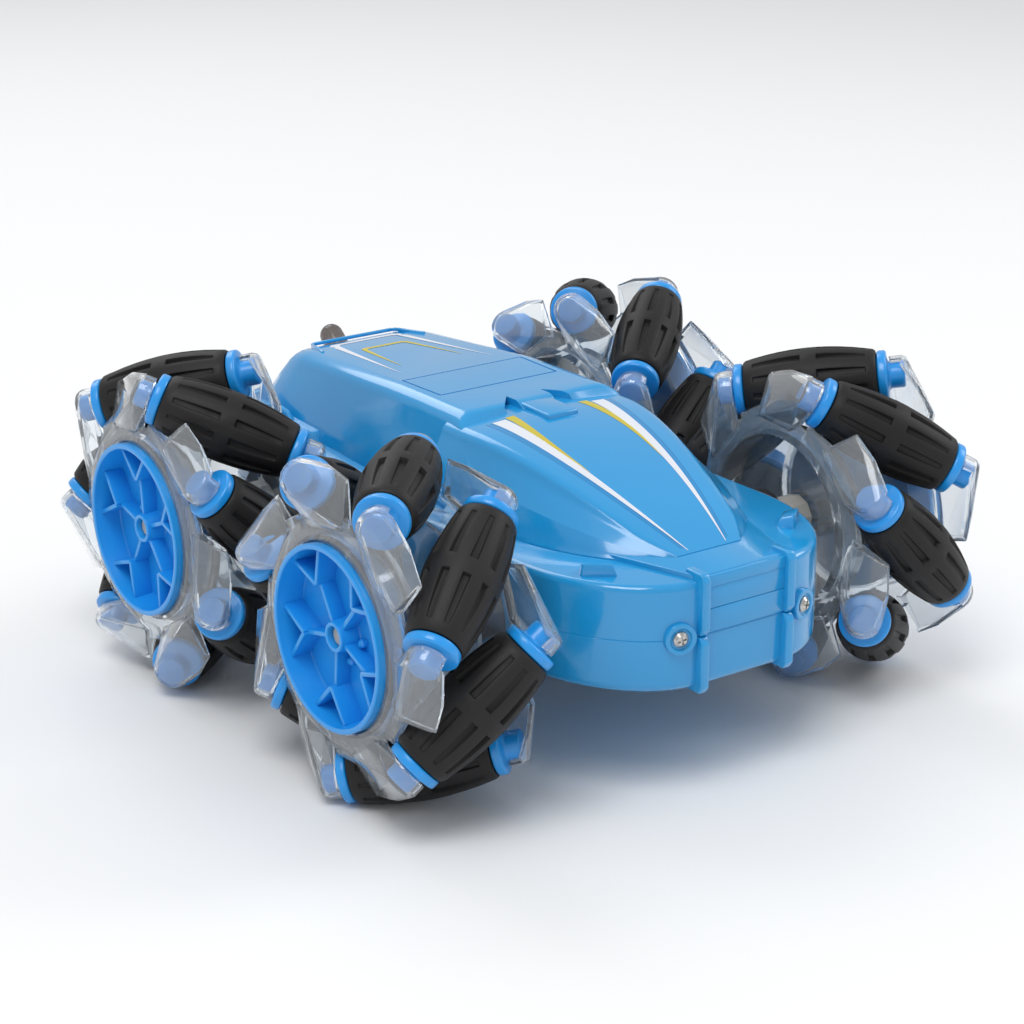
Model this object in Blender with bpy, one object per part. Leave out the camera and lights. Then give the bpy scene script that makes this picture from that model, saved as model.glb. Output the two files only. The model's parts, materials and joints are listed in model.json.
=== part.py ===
"""Radio-controlled stunt car on four mecanum wheels.

Every length is in millimetres until an object is made. The car stands on z = 0 with its front
towards -Y, its width along X and its centre over the origin.
"""

import math

import bmesh
import bpy
from mathutils import Matrix, Vector

MM = 0.001

# Overall layout
WHEEL_RADIUS = 40.0
WHEEL_CLEARANCE = 2.75
HALF_WHEELBASE = WHEEL_RADIUS + WHEEL_CLEARANCE
BODY_HALF_WIDTH = 38.0
WHEEL_STANDOFF = 25.2
WHEEL_MID_X = BODY_HALF_WIDTH + WHEEL_STANDOFF
BODY_FRONT_Y = -86.0
BODY_REAR_Y = 85.0
BUMPER_REACH = 2.0
TAIL_REACH = 3.0

# Fits
GAP = 0.3
RUNNING_GAP = 0.3

# Mecanum rollers
ROLLER_COUNT = 7
ROLLER_STEP = 2 * math.pi / ROLLER_COUNT
SLEEVE_RADIUS = 8.8
ROLLER_ORBIT = WHEEL_RADIUS - SLEEVE_RADIUS
SLEEVE_HALF = 16.0
COLLAR_RADIUS = 6.0
COLLAR_END = 18.6
PIN_RADIUS = 3.2
PIN_END = 22.6
ROLLER_SIDES = 10
# Each wheel's turn, and how far its rollers are spun, in degrees
WHEEL_TURNS = {
    "front_left": (5.0, 0.0),
    "rear_left": (31.0, 21.0),
    "front_right": (40.0, 11.0),
    "rear_right": (31.0, 14.0),
}
FACET_SAG = 0.24

# Clear wheel shells, measured outwards from the wheel's mid-plane
CUP_RADIUS = 4.6
CUP_TIP_RADIUS = 4.1
CUP_FLOOR = 0.8
CUP_SIDES = 7
SPOKE_LEAN = math.radians(11.0)
SPOKE_SPREAD = math.radians(7.0)
SHELL_WALL = 1.3
FLANGE_INNER = 13.6
FLANGE_OUTER = 16.4
POCKET_FLOOR = 6.7
POCKET_FLOOR_THICKNESS = 1.8
RING_SEGMENTS = 14
HUB_SEGMENTS = 15
BARREL_RADIUS = 6.0

# Hub disc
HUB_RADIUS = 21.0
FLANGE_WIDTH = 5.4
FLANGE_RADIUS = HUB_RADIUS + FLANGE_WIDTH
HUB_RIM_WIDTH = 1.4
HUB_RIM_FACE = 17.8
HUB_BACK = 9.0
HUB_DISC_THICKNESS = 2.0
HUB_TUBE_RADIUS = 3.4
HUB_TUBE_END = 15.2
HUB_RIB_COUNT = 5
HUB_RIB_WIDTH = 1.4
HUB_RIB_TOP = 16.6
HUB_FORK_RADIUS = 12.0
HUB_FORK_ANGLE = math.radians(17.0)

# Axles and gearmotors
AXLE_RADIUS = 2.0
AXLE_BOSS_RADIUS = 5.5
GEARBOX_LENGTH = 12.0
GEARBOX_WIDTH = 20.0
GEARBOX_HEIGHT = 18.5
MOTOR_RADIUS = 7.5
MOTOR_END_X = 3.8
SNOUT_RADIUS = 9.0
SNOUT_REACH = 6.0
AXLE_SOCKET_DEPTH = 12.0

# Body shells, heights measured from the ground
AXLE_HEIGHT = WHEEL_RADIUS - FACET_SAG
WALL = 1.6
BELLY_Z = AXLE_HEIGHT - 13.7
FLOOR_THICKNESS = 1.8
PARTING_Z = AXLE_HEIGHT - 1.3
DECK_Z = AXLE_HEIGHT + 11.3
EDGE = 1.2
BELLY_EDGE = 2.2
FRONT_CORNER_X = 12.0
FRONT_CORNER_Y = -50.0
REAR_CORNER_X = 10.0
REAR_CORNER_Y = 50.0
REAR_CORNER_POWER = 2.6
CORNER_POINTS = 7

HOOD_FRONT_Y = -73.8
HOOD_REAR_Y = -6.0
HOOD_TOP_Y = -16.0
HOOD_BASE_HALF = 31.0
HOOD_BASE_STRAIGHT_Y = -29.0
HOOD_RIDGE_FRONT_X = 9.0
HOOD_RIDGE_REAR_X = 22.0
HOOD_RIDGE_FRONT_Z = AXLE_HEIGHT + 12.6
HOOD_RIDGE_REAR_Z = AXLE_HEIGHT + 29.0
HOOD_STATIONS = 8

ROOF_FRONT_Y = -9.0
ARCH_FOOT_Y = -26.0
ROOF_REAR_Y = 73.0
TAIL_FOOT_Y = 81.0
ROOF_FRONT_Z = AXLE_HEIGHT + 31.5
ROOF_REAR_Z = AXLE_HEIGHT + 28.4
ROOF_SLOPE_START_Y = 20.0
ROOF_FLAT_HALF = 18.5
ROOF_FLAT_REAR_HALF = 15.0
SHOULDER_OUT = 4.5
SHOULDER_DROP = 3.2
CABIN_BASE_HALF = 28.5
CABIN_BASE_REAR_HALF = 24.5
TAB_HALF = 4.5
TAB_REACH = 11.0
TAB_DEPTH = 2.4

REAR_DECK_Z = AXLE_HEIGHT + 13.8
REAR_DECK_Y = 46.0
FIN_X = 26.7
FIN_THICKNESS = 1.6
RIB_X = 12.2
RIB_WIDTH = 2.4
BOSS_X = 17.5
BOSS_Z = AXLE_HEIGHT - 1.0
BOSS_RADIUS = 3.7
BOSS_PROUD = 0.9
SCREW_HEAD_RADIUS = 1.75
SCREW_SHANK_RADIUS = 1.1
SCREW_LENGTH = 8.0
NOTCH_HALF = 3.9
NOTCH_FRONT_Y = 70.5
LENS_RADIUS = 3.1
LENS_FOOT = (74.6, AXLE_HEIGHT + 21.5)
LENS_TIP = (80.6, AXLE_HEIGHT + 26.4)
LENS_STEM_RADIUS = 2.0
LENS_STEM_Y = 79.0
SEAT_FRONT_Y = 76.5
SEAT_REAR_Y = 84.0
SEAT_OVERLAP = 2.0
SEAT_TOP_Z = AXLE_HEIGHT + 15.0
SEAT_THICKNESS = 2.0
TAIL_HALF = 9.0
TAIL_TOP_Z = AXLE_HEIGHT + 15.8
FIN_FRONT_Y = 57.0
FIN_REAR_Y = 81.6
FIN_HEIGHT = 4.4
ARCH_FLARE = 3.0
PEG_REACH = 3.5
PEG_X = BODY_HALF_WIDTH + PEG_REACH
BRACKET_RADIUS = 3.8
PEG_RADIUS = 2.5

# Battery bay, door and switch
DOOR_HALF_X = 17.0
DOOR_HALF_Y = 31.0
BATTERY_HALF_X = 14.5
BATTERY_HALF_Y = 26.0
BATTERY_HEIGHT = 16.0
LEDGE_HALF_X = 8.0
LEDGE_TOP = 5.0
DOOR_SCREW_Y = 27.5
DOOR_SCREW_HEAD = 2.8
BOARD_HALF_X = 17.0
BOARD_HALF_Y = 23.0
BOARD_THICKNESS = 1.6
SWITCH_Y = 64.0
SWITCH_TRAVEL = 3.0
KNOB_HALF_X = 1.6
KNOB_HALF_Y = 1.8
KNOB_REACH = 1.0

LOCAL_AXIS = Vector((1.0, 1.0, 0.0)).normalized()


# ---------------------------------------------------------------- materials

def make_material(name, colour, roughness, metallic=0.0, alpha=1.0):
    """A plain Principled BSDF material with the part's colour."""
    material = bpy.data.materials.new(name)
    material.use_nodes = True
    shader = material.node_tree.nodes["Principled BSDF"]
    shader.inputs["Base Color"].default_value = (*colour, 1.0)
    shader.inputs["Roughness"].default_value = roughness
    shader.inputs["Metallic"].default_value = metallic
    shader.inputs["Alpha"].default_value = alpha
    return material


# ---------------------------------------------------------------- shapes

def lathe(profile, segments, closed=False):
    """Turns (radius, height) points about Z. An open profile starts and ends on the axis."""
    mesh = bmesh.new()
    rings = []
    for radius, height in profile:
        if radius < 1e-6:
            rings.append([mesh.verts.new((0.0, 0.0, height))])
            continue
        ring = []
        for index in range(segments):
            angle = 2 * math.pi * index / segments
            ring.append(mesh.verts.new((radius * math.cos(angle), radius * math.sin(angle), height)))
        rings.append(ring)
    pairs = list(zip(rings, rings[1:]))
    if closed:
        pairs.append((rings[-1], rings[0]))
    for lower, upper in pairs:
        for index in range(segments):
            after = (index + 1) % segments
            corners = [lower[index % len(lower)], lower[after % len(lower)]]
            corners += [upper[after % len(upper)], upper[index % len(upper)]]
            corners = list(dict.fromkeys(corners))
            if len(corners) > 2:
                mesh.faces.new(corners)
    bmesh.ops.recalc_face_normals(mesh, faces=mesh.faces[:])
    return mesh


def hull(points):
    """The convex solid around the points."""
    mesh = bmesh.new()
    verts = [mesh.verts.new(point) for point in points]
    result = bmesh.ops.convex_hull(mesh, input=verts)
    spare = [item for item in result["geom_interior"] if isinstance(item, bmesh.types.BMVert)]
    bmesh.ops.delete(mesh, geom=spare, context="VERTS")
    bmesh.ops.recalc_face_normals(mesh, faces=mesh.faces[:])
    return mesh


def box(low, high):
    """An upright box between two corners."""
    corners = [(x, y, z) for x in (low[0], high[0]) for y in (low[1], high[1]) for z in (low[2], high[2])]
    return hull(corners)


def loft(sections):
    """A closed skin through rings of equal point count, capped at both ends."""
    mesh = bmesh.new()
    rings = [[mesh.verts.new(point) for point in section] for section in sections]
    count = len(rings[0])
    for first, second in zip(rings, rings[1:]):
        for index in range(count):
            after = (index + 1) % count
            mesh.faces.new([first[index], first[after], second[after], second[index]])
    mesh.faces.new(rings[0])
    mesh.faces.new(rings[-1])
    bmesh.ops.recalc_face_normals(mesh, faces=mesh.faces[:])
    return mesh


def joined(meshes):
    """Several solids that stand apart, as one mesh."""
    whole = bmesh.new()
    for mesh in meshes:
        data = bpy.data.meshes.new("part_of_whole")
        mesh.to_mesh(data)
        mesh.free()
        whole.from_mesh(data)
        bpy.data.meshes.remove(data)
    return whole


def moved(mesh, matrix):
    """The mesh after a matrix, with its faces kept pointing out."""
    bmesh.ops.transform(mesh, matrix=matrix, verts=mesh.verts[:])
    if matrix.determinant() < 0:
        bmesh.ops.reverse_faces(mesh, faces=mesh.faces[:])
    return mesh


def along_x(mesh):
    """Lays a shape turned about Z along X, so that its height becomes its x."""
    return moved(mesh, Matrix.Rotation(math.radians(90), 4, "Y"))


def mirrored_pair(build):
    """The same shape on both sides of the car."""
    return joined([build(), moved(build(), Matrix.Scale(-1, 4, (1, 0, 0)))])


def solid_object(name, mesh, material, matrix=None):
    """A named object in metres from a mesh in millimetres."""
    bmesh.ops.transform(mesh, matrix=Matrix.Scale(MM, 4), verts=mesh.verts[:])
    data = bpy.data.meshes.new(name)
    mesh.to_mesh(data)
    mesh.free()
    if material is not None:
        data.materials.append(material)
    data.shade_smooth()
    data.set_sharp_from_angle(angle=math.radians(35))
    solid = bpy.data.objects.new(name, data)
    bpy.context.scene.collection.objects.link(solid)
    if matrix is not None:
        placed = matrix.copy()
        placed.translation = matrix.translation * MM
        solid.matrix_world = placed
    return solid


def combine(base, other, operation):
    """Unites two solids, or takes the second from the first, and returns the resulting mesh."""
    first = solid_object("combine_base", base, None)
    second = solid_object("combine_other", other, None)
    boolean = first.modifiers.new("combine", "BOOLEAN")
    boolean.operation = operation
    boolean.solver = "EXACT"
    boolean.object = second
    graph = bpy.context.evaluated_depsgraph_get()
    data = bpy.data.meshes.new_from_object(first.evaluated_get(graph))
    result = bmesh.new()
    result.from_mesh(data)
    bmesh.ops.transform(result, matrix=Matrix.Scale(1 / MM, 4), verts=result.verts[:])
    bmesh.ops.remove_doubles(result, verts=result.verts[:], dist=0.002)
    flat = math.radians(0.5)
    bmesh.ops.dissolve_limit(result, angle_limit=flat, verts=result.verts[:], edges=result.edges[:])
    bmesh.ops.triangulate(result, faces=result.faces[:])
    meshes = [first.data, second.data, data]
    bpy.data.objects.remove(first)
    bpy.data.objects.remove(second)
    for used in meshes:
        bpy.data.meshes.remove(used)
    return result


def united(base, *others):
    for other in others:
        base = combine(base, other, "UNION")
    return base


def cut(base, *cutters):
    for cutter in cutters:
        base = combine(base, cutter, "DIFFERENCE")
    return base


# ---------------------------------------------------------------- wheels

def sleeve_radius(along):
    """Barrel radius that keeps the roller's outer side on the wheel's rolling circle."""
    return WHEEL_RADIUS - math.sqrt(ROLLER_ORBIT**2 + along**2 / 2)


def roller_mesh():
    """A spindle with collars and end pins, and its ribbed sleeve, as one turned solid."""
    half = [
        (0.0, PIN_END),
        (PIN_RADIUS, PIN_END),
        (PIN_RADIUS, COLLAR_END),
        (COLLAR_RADIUS, COLLAR_END),
        (sleeve_radius(SLEEVE_HALF), SLEEVE_HALF),
        (sleeve_radius(SLEEVE_HALF * 0.5), SLEEVE_HALF * 0.5),
    ]
    middle = [(sleeve_radius(0.0), 0.0)]
    lower = [(radius, -height) for radius, height in reversed(half)]
    return lathe(half + middle + lower, ROLLER_SIDES)


def roller_frame(side, end, turn):
    """Where a roller's own Z axis lies, with the wheel's mid-plane centre at the origin."""
    axis = Vector((side, end, 0)).normalized()
    tilt = Vector((0, 0, 1)).rotation_difference(axis).to_matrix().to_4x4()
    return Matrix.Rotation(turn, 4, "X") @ Matrix.Translation((0, 0, ROLLER_ORBIT)) @ tilt


def cup_bore_radius():
    """A faceted bore whose flats still clear the round pin."""
    return (PIN_RADIUS + RUNNING_GAP) / math.cos(math.pi / CUP_SIDES)


def cup_end():
    return PIN_END + RUNNING_GAP + CUP_FLOOR


def spoke_mesh(index):
    """A web from the flange to a cup, drawn as one convex wedge with the cup on its end."""
    frame = roller_frame(1, 1, index * ROLLER_STEP)
    points = []
    rings = ((CUP_RADIUS, COLLAR_END + GAP), (CUP_TIP_RADIUS, cup_end()))
    for radius, height in rings:
        for step in range(CUP_SIDES):
            angle = 2 * math.pi * step / CUP_SIDES
            points.append(frame @ Vector((radius * math.cos(angle), radius * math.sin(angle), height)))
    reach = cup_end() * LOCAL_AXIS.y
    centre_angle = index * ROLLER_STEP - math.atan2(reach, ROLLER_ORBIT) - SPOKE_LEAN
    for offset in (-SPOKE_SPREAD, SPOKE_SPREAD):
        for along in (FLANGE_INNER + 0.7, FLANGE_OUTER - 0.3):
            foot = Matrix.Rotation(centre_angle + offset, 4, "X") @ Vector((along, 0, FLANGE_RADIUS - 2.0))
            points.append(foot)
    return hull(points)


def spoke_bore(index):
    frame = roller_frame(1, 1, index * ROLLER_STEP)
    radius = cup_bore_radius()
    profile = [(0, COLLAR_END - 2.0), (radius, COLLAR_END - 2.0)]
    profile += [(radius, PIN_END + RUNNING_GAP), (0, PIN_END + RUNNING_GAP)]
    return moved(lathe(profile, CUP_SIDES), frame)


def shell_ring(with_barrel):
    """The round middle of a clear shell: a pocket for the hub and a flange for the spokes."""
    pocket = (HUB_RADIUS + GAP) / math.cos(math.pi / RING_SEGMENTS)
    outside = pocket + SHELL_WALL
    bore = AXLE_RADIUS + 1.0
    profile = [
        (bore, POCKET_FLOOR),
        (outside, POCKET_FLOOR),
        (outside, FLANGE_INNER),
        (FLANGE_RADIUS, FLANGE_INNER),
        (FLANGE_RADIUS, FLANGE_OUTER),
        (pocket, FLANGE_OUTER),
        (pocket, POCKET_FLOOR + POCKET_FLOOR_THICKNESS),
        (bore, POCKET_FLOOR + POCKET_FLOOR_THICKNESS),
    ]
    if with_barrel:
        barrel_end = -POCKET_FLOOR + GAP
        profile = [(BARREL_RADIUS, POCKET_FLOOR)] + profile[1:]
        profile += [(bore, barrel_end), (BARREL_RADIUS, barrel_end)]
    return along_x(lathe(profile, RING_SEGMENTS, closed=True))


def wheel_shell(with_barrel):
    """One clear spider with its seven cups, outer side towards +X."""
    spokes = joined([spoke_mesh(index) for index in range(ROLLER_COUNT)])
    bores = joined([spoke_bore(index) for index in range(ROLLER_COUNT)])
    return cut(united(shell_ring(with_barrel), spokes), bores)


def rib(start, end, bottom, top, width):
    """A straight upright rib on the hub disc, between two points given as (y, z)."""
    first = Vector(start)
    second = Vector(end)
    across = (second - first).normalized().orthogonal() * width / 2
    points = []
    for along in (bottom, top):
        for corner in (first + across, first - across, second + across, second - across):
            points.append((along, corner.x, corner.y))
    return hull(points)


def polar(radius, angle):
    return (-radius * math.sin(angle), radius * math.cos(angle))


def hub_mesh():
    """The hub: a dished disc with a rim, a centre tube and five forked ribs."""
    inner = HUB_RADIUS - HUB_RIM_WIDTH
    disc_top = HUB_BACK + HUB_DISC_THICKNESS
    bore = (AXLE_RADIUS + GAP) / math.cos(math.pi / HUB_SEGMENTS)
    profile = [
        (bore, HUB_BACK),
        (HUB_RADIUS, HUB_BACK),
        (HUB_RADIUS, HUB_RIM_FACE),
        (inner, HUB_RIM_FACE),
        (inner, disc_top),
        (HUB_TUBE_RADIUS, disc_top),
        (HUB_TUBE_RADIUS, HUB_TUBE_END),
        (bore, HUB_TUBE_END),
    ]
    hub = along_x(lathe(profile, HUB_SEGMENTS, closed=True))
    step = 2 * math.pi / HUB_RIB_COUNT
    for index in range(HUB_RIB_COUNT):
        angle = index * step
        fork = polar(HUB_FORK_RADIUS, angle)
        start = polar(HUB_TUBE_RADIUS - 0.6, angle)
        hub = united(hub, rib(start, fork, disc_top - 0.5, HUB_RIB_TOP - 2, HUB_RIB_WIDTH))
        for branch in (-HUB_FORK_ANGLE, HUB_FORK_ANGLE):
            rim_point = polar(inner + 0.6, angle + branch)
            hub = united(hub, rib(fork, rim_point, disc_top - 0.5, HUB_RIB_TOP, HUB_RIB_WIDTH))
    return hub


def axle_mesh():
    """The drive shaft, from the gearbox socket to the hub, with its round boss."""
    start = BODY_HALF_WIDTH + SNOUT_REACH - AXLE_SOCKET_DEPTH + GAP
    boss_start = BODY_HALF_WIDTH + SNOUT_REACH + GAP
    boss_end = WHEEL_MID_X - POCKET_FLOOR - POCKET_FLOOR_THICKNESS - GAP
    end = WHEEL_MID_X + HUB_TUBE_END - 1.0
    profile = [
        (0, start),
        (AXLE_RADIUS, start),
        (AXLE_RADIUS, boss_start),
        (AXLE_BOSS_RADIUS, boss_start),
        (AXLE_BOSS_RADIUS, boss_end),
        (AXLE_RADIUS, boss_end),
        (AXLE_RADIUS, end),
        (0, end),
    ]
    mesh = along_x(lathe(profile, ROLLER_SIDES))
    return moved(mesh, Matrix.Translation((-WHEEL_MID_X, 0, 0)))


def gearmotor_mesh():
    """A motor can, a gearbox and the round snout that leaves the body's side."""
    box_end = BODY_HALF_WIDTH - WALL - 2 * GAP
    box_start = box_end - GEARBOX_LENGTH
    snout_end = BODY_HALF_WIDTH + SNOUT_REACH
    half_width = GEARBOX_WIDTH / 2
    half_height = GEARBOX_HEIGHT / 2
    gearbox = box((box_start, -half_width, -half_height), (box_end, half_width, half_height))
    motor = [(0, MOTOR_END_X), (MOTOR_RADIUS, MOTOR_END_X)]
    motor += [(MOTOR_RADIUS, box_start + 1), (0, box_start + 1)]
    snout = [(0, box_end - 1), (SNOUT_RADIUS, box_end - 1), (SNOUT_RADIUS, snout_end), (0, snout_end)]
    socket_radius = AXLE_RADIUS + 2 * GAP
    socket_start = snout_end - AXLE_SOCKET_DEPTH
    socket_end = snout_end + 1
    socket = [(0, socket_start), (socket_radius, socket_start), (socket_radius, socket_end), (0, socket_end)]
    whole = united(gearbox, along_x(lathe(motor, 16)), along_x(lathe(snout, 16)))
    whole = cut(whole, along_x(lathe(socket, ROLLER_SIDES)))
    return moved(whole, Matrix.Translation((-WHEEL_MID_X, 0, 0)))


def build_wheels(looks):
    """Four wheels, each with two clear shells, a hub, an axle, a gearmotor and seven rollers."""
    outer = wheel_shell(False)
    inner = moved(wheel_shell(True), Matrix.Rotation(math.pi, 4, "Z"))
    hub = hub_mesh()
    for place, (turn_degrees, spin_degrees) in WHEEL_TURNS.items():
        turn = math.radians(turn_degrees)
        spin = Matrix.Rotation(math.radians(spin_degrees), 4, "Z")
        end = -1 if place.startswith("front") else 1
        side = -1 if place.endswith("left") else 1
        centre = Matrix.Translation((side * WHEEL_MID_X, end * HALF_WHEELBASE, AXLE_HEIGHT))
        spun = centre @ Matrix.Rotation(turn, 4, "X")
        flip = Matrix.Diagonal((side, end, 1, 1))
        solid_object(place + "_outer_shell", moved(outer.copy(), flip), looks["clear"], spun)
        solid_object(place + "_inner_shell", moved(inner.copy(), flip), looks["clear"], spun)
        solid_object(place + "_hub", moved(hub.copy(), flip), looks["hub_blue"], spun)
        solid_object(place + "_axle", moved(axle_mesh(), flip), looks["grey"], spun)
        solid_object(place + "_gearmotor", moved(gearmotor_mesh(), flip), looks["dark"], centre)
        for index in range(ROLLER_COUNT):
            frame = centre @ roller_frame(side, end, turn + index * ROLLER_STEP) @ spin
            name = f"{place}_roller_{index + 1}"
            solid_object(name, roller_mesh(), looks["rubber"], frame)
    for mesh in (outer, inner, hub):
        mesh.free()


# ---------------------------------------------------------------- body

def corner_curve(centre, half_x, half_y, power, quadrant):
    """Points of a superellipse quarter from its y end to its x end."""
    points = []
    for index in range(CORNER_POINTS):
        angle = math.pi / 2 * index / (CORNER_POINTS - 1)
        across = math.sin(angle) ** (2 / power)
        down = math.cos(angle) ** (2 / power)
        points.append((centre[0] + half_x * across, centre[1] + quadrant * half_y * down))
    return points


def plan_outline(inset=0.0):
    """The body seen from above, pulled in by a wall or a chamfer."""
    front_size = (BODY_HALF_WIDTH - FRONT_CORNER_X - inset, FRONT_CORNER_Y - BODY_FRONT_Y - inset)
    rear_size = (BODY_HALF_WIDTH - REAR_CORNER_X - inset, BODY_REAR_Y - REAR_CORNER_Y - inset)
    right = corner_curve((FRONT_CORNER_X, FRONT_CORNER_Y), *front_size, 2.0, -1)
    rear = corner_curve((REAR_CORNER_X, REAR_CORNER_Y), *rear_size, REAR_CORNER_POWER, 1)
    right += list(reversed(rear))
    left = [(-x, y) for x, y in reversed(right)]
    return right + left


def slab(levels):
    """A solid of the body's plan, with an (inset, height) pair for each level."""
    return loft([[(x, y, height) for x, y in plan_outline(inset)] for inset, height in levels])


def hood_share(y):
    """0 where the ridges meet the roof and 1 at the hood's front edge."""
    return min(1.0, max(0.0, (HOOD_TOP_Y - y) / (HOOD_TOP_Y - HOOD_FRONT_Y)))


def ridge_x(y):
    return HOOD_RIDGE_FRONT_X + (HOOD_RIDGE_REAR_X - HOOD_RIDGE_FRONT_X) * (1 - hood_share(y) ** 1.4)


def ridge_z(y):
    return HOOD_RIDGE_FRONT_Z + (HOOD_RIDGE_REAR_Z - HOOD_RIDGE_FRONT_Z) * (1 - hood_share(y) ** 1.6)


def hood_foot_x(y):
    if y > HOOD_BASE_STRAIGHT_Y:
        return HOOD_BASE_HALF
    share = (HOOD_BASE_STRAIGHT_Y - y) / (HOOD_BASE_STRAIGHT_Y - HOOD_FRONT_Y + 2.0)
    return HOOD_BASE_HALF * math.sqrt(1 - share * share)


def hood_section(y, inset, floor):
    """One cross-section of the hood: feet, flanks, ridges and the crowned middle."""
    foot = max(hood_foot_x(y), ridge_x(y) + 0.6) - inset
    ridge = ridge_x(y) - inset * 0.6
    top = ridge_z(y) - inset
    crown = top + 0.8 * (1 - hood_share(y))
    flank_x = foot + (ridge - foot) * 0.4
    flank_z = DECK_Z + (top - DECK_Z) * 0.55
    right = [(foot, floor), (foot, DECK_Z - 0.4), (flank_x, flank_z), (ridge, top), (ridge * 0.5, crown - 0.2)]
    left = [(-x, z) for x, z in reversed(right)]
    return [(x, y, z) for x, z in right + [(0.0, crown)] + left]


def hood_mesh(inset, floor):
    front = HOOD_FRONT_Y + inset
    stations = []
    for index in range(HOOD_STATIONS):
        share = index / (HOOD_STATIONS - 1)
        stations.append(front + (HOOD_REAR_Y - front) * share)
    return loft([hood_section(y, inset, floor) for y in stations])


def roof_z(y):
    share = max(0.0, (y - ROOF_SLOPE_START_Y) / (ROOF_REAR_Y - ROOF_SLOPE_START_Y))
    return ROOF_FRONT_Z + (ROOF_REAR_Z - ROOF_FRONT_Z) * min(1.0, share)


def cabin_section(y_top, y_foot, inset, floor, flare=0.0):
    """One cross-section of the cabin; its foot may stand further forward and wider than its roof."""
    share = max(0.0, (y_top - ROOF_SLOPE_START_Y) / (ROOF_REAR_Y - ROOF_SLOPE_START_Y))
    flat = ROOF_FLAT_HALF + (ROOF_FLAT_REAR_HALF - ROOF_FLAT_HALF) * share - inset * 0.5
    foot = CABIN_BASE_HALF + (CABIN_BASE_REAR_HALF - CABIN_BASE_HALF) * share - inset + flare
    top = roof_z(y_top) - inset
    shoulder = flat + SHOULDER_OUT - inset * 0.5
    right = [(foot, floor), (foot, DECK_Z - 0.4), (shoulder, top - SHOULDER_DROP), (flat, top)]
    ring = []
    for x, z in right + [(-x, z) for x, z in reversed(right)]:
        drop = (top - z) / (top - DECK_Z)
        ring.append((x, y_top + (y_foot - y_top) * min(1.0, drop), z))
    return ring


def cabin_mesh(inset, floor):
    """The roof and sides, from the arch that frames the hood to the sloping tail."""
    middle = (ROOF_SLOPE_START_Y + ROOF_REAR_Y) / 2
    stations = [
        (ROOF_FRONT_Y + inset, ARCH_FOOT_Y + inset, ARCH_FLARE),
        (ROOF_SLOPE_START_Y, ROOF_SLOPE_START_Y, 0.0),
        (middle, middle, 0.0),
        (ROOF_REAR_Y - inset, TAIL_FOOT_Y - inset, 0.0),
    ]
    return loft([cabin_section(top, foot, inset, floor, flare) for top, foot, flare in stations])


def boss_frame(side):
    """Places a bumper boss on the rounded front wall, its own Z pointing out of the wall."""
    half_x = BODY_HALF_WIDTH - FRONT_CORNER_X
    half_y = FRONT_CORNER_Y - BODY_FRONT_Y
    across = (BOSS_X - FRONT_CORNER_X) / half_x
    y = FRONT_CORNER_Y - half_y * math.sqrt(1 - across**2)
    normal = Vector((side * across / half_x, (y - FRONT_CORNER_Y) / half_y**2, 0)).normalized()
    turn = Vector((0, 0, 1)).rotation_difference(normal).to_matrix().to_4x4()
    return Matrix.Translation((side * BOSS_X, y, BOSS_Z)) @ turn


def disc(radius, low, high, segments=16):
    return lathe([(0, low), (radius, low), (radius, high), (0, high)], segments)


def bumper_rib(low, high):
    """A rib over the front edge, or the part of it on one shell."""
    reach = BODY_FRONT_Y - BUMPER_REACH
    half = RIB_WIDTH / 2
    points = []
    for x in (RIB_X - half, RIB_X + half):
        for y, z in ((-84.0, low), (reach, low), (reach, high - 1.5), (-84.0, high)):
            points.append((x, y, z))
    return hull(points)


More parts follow.
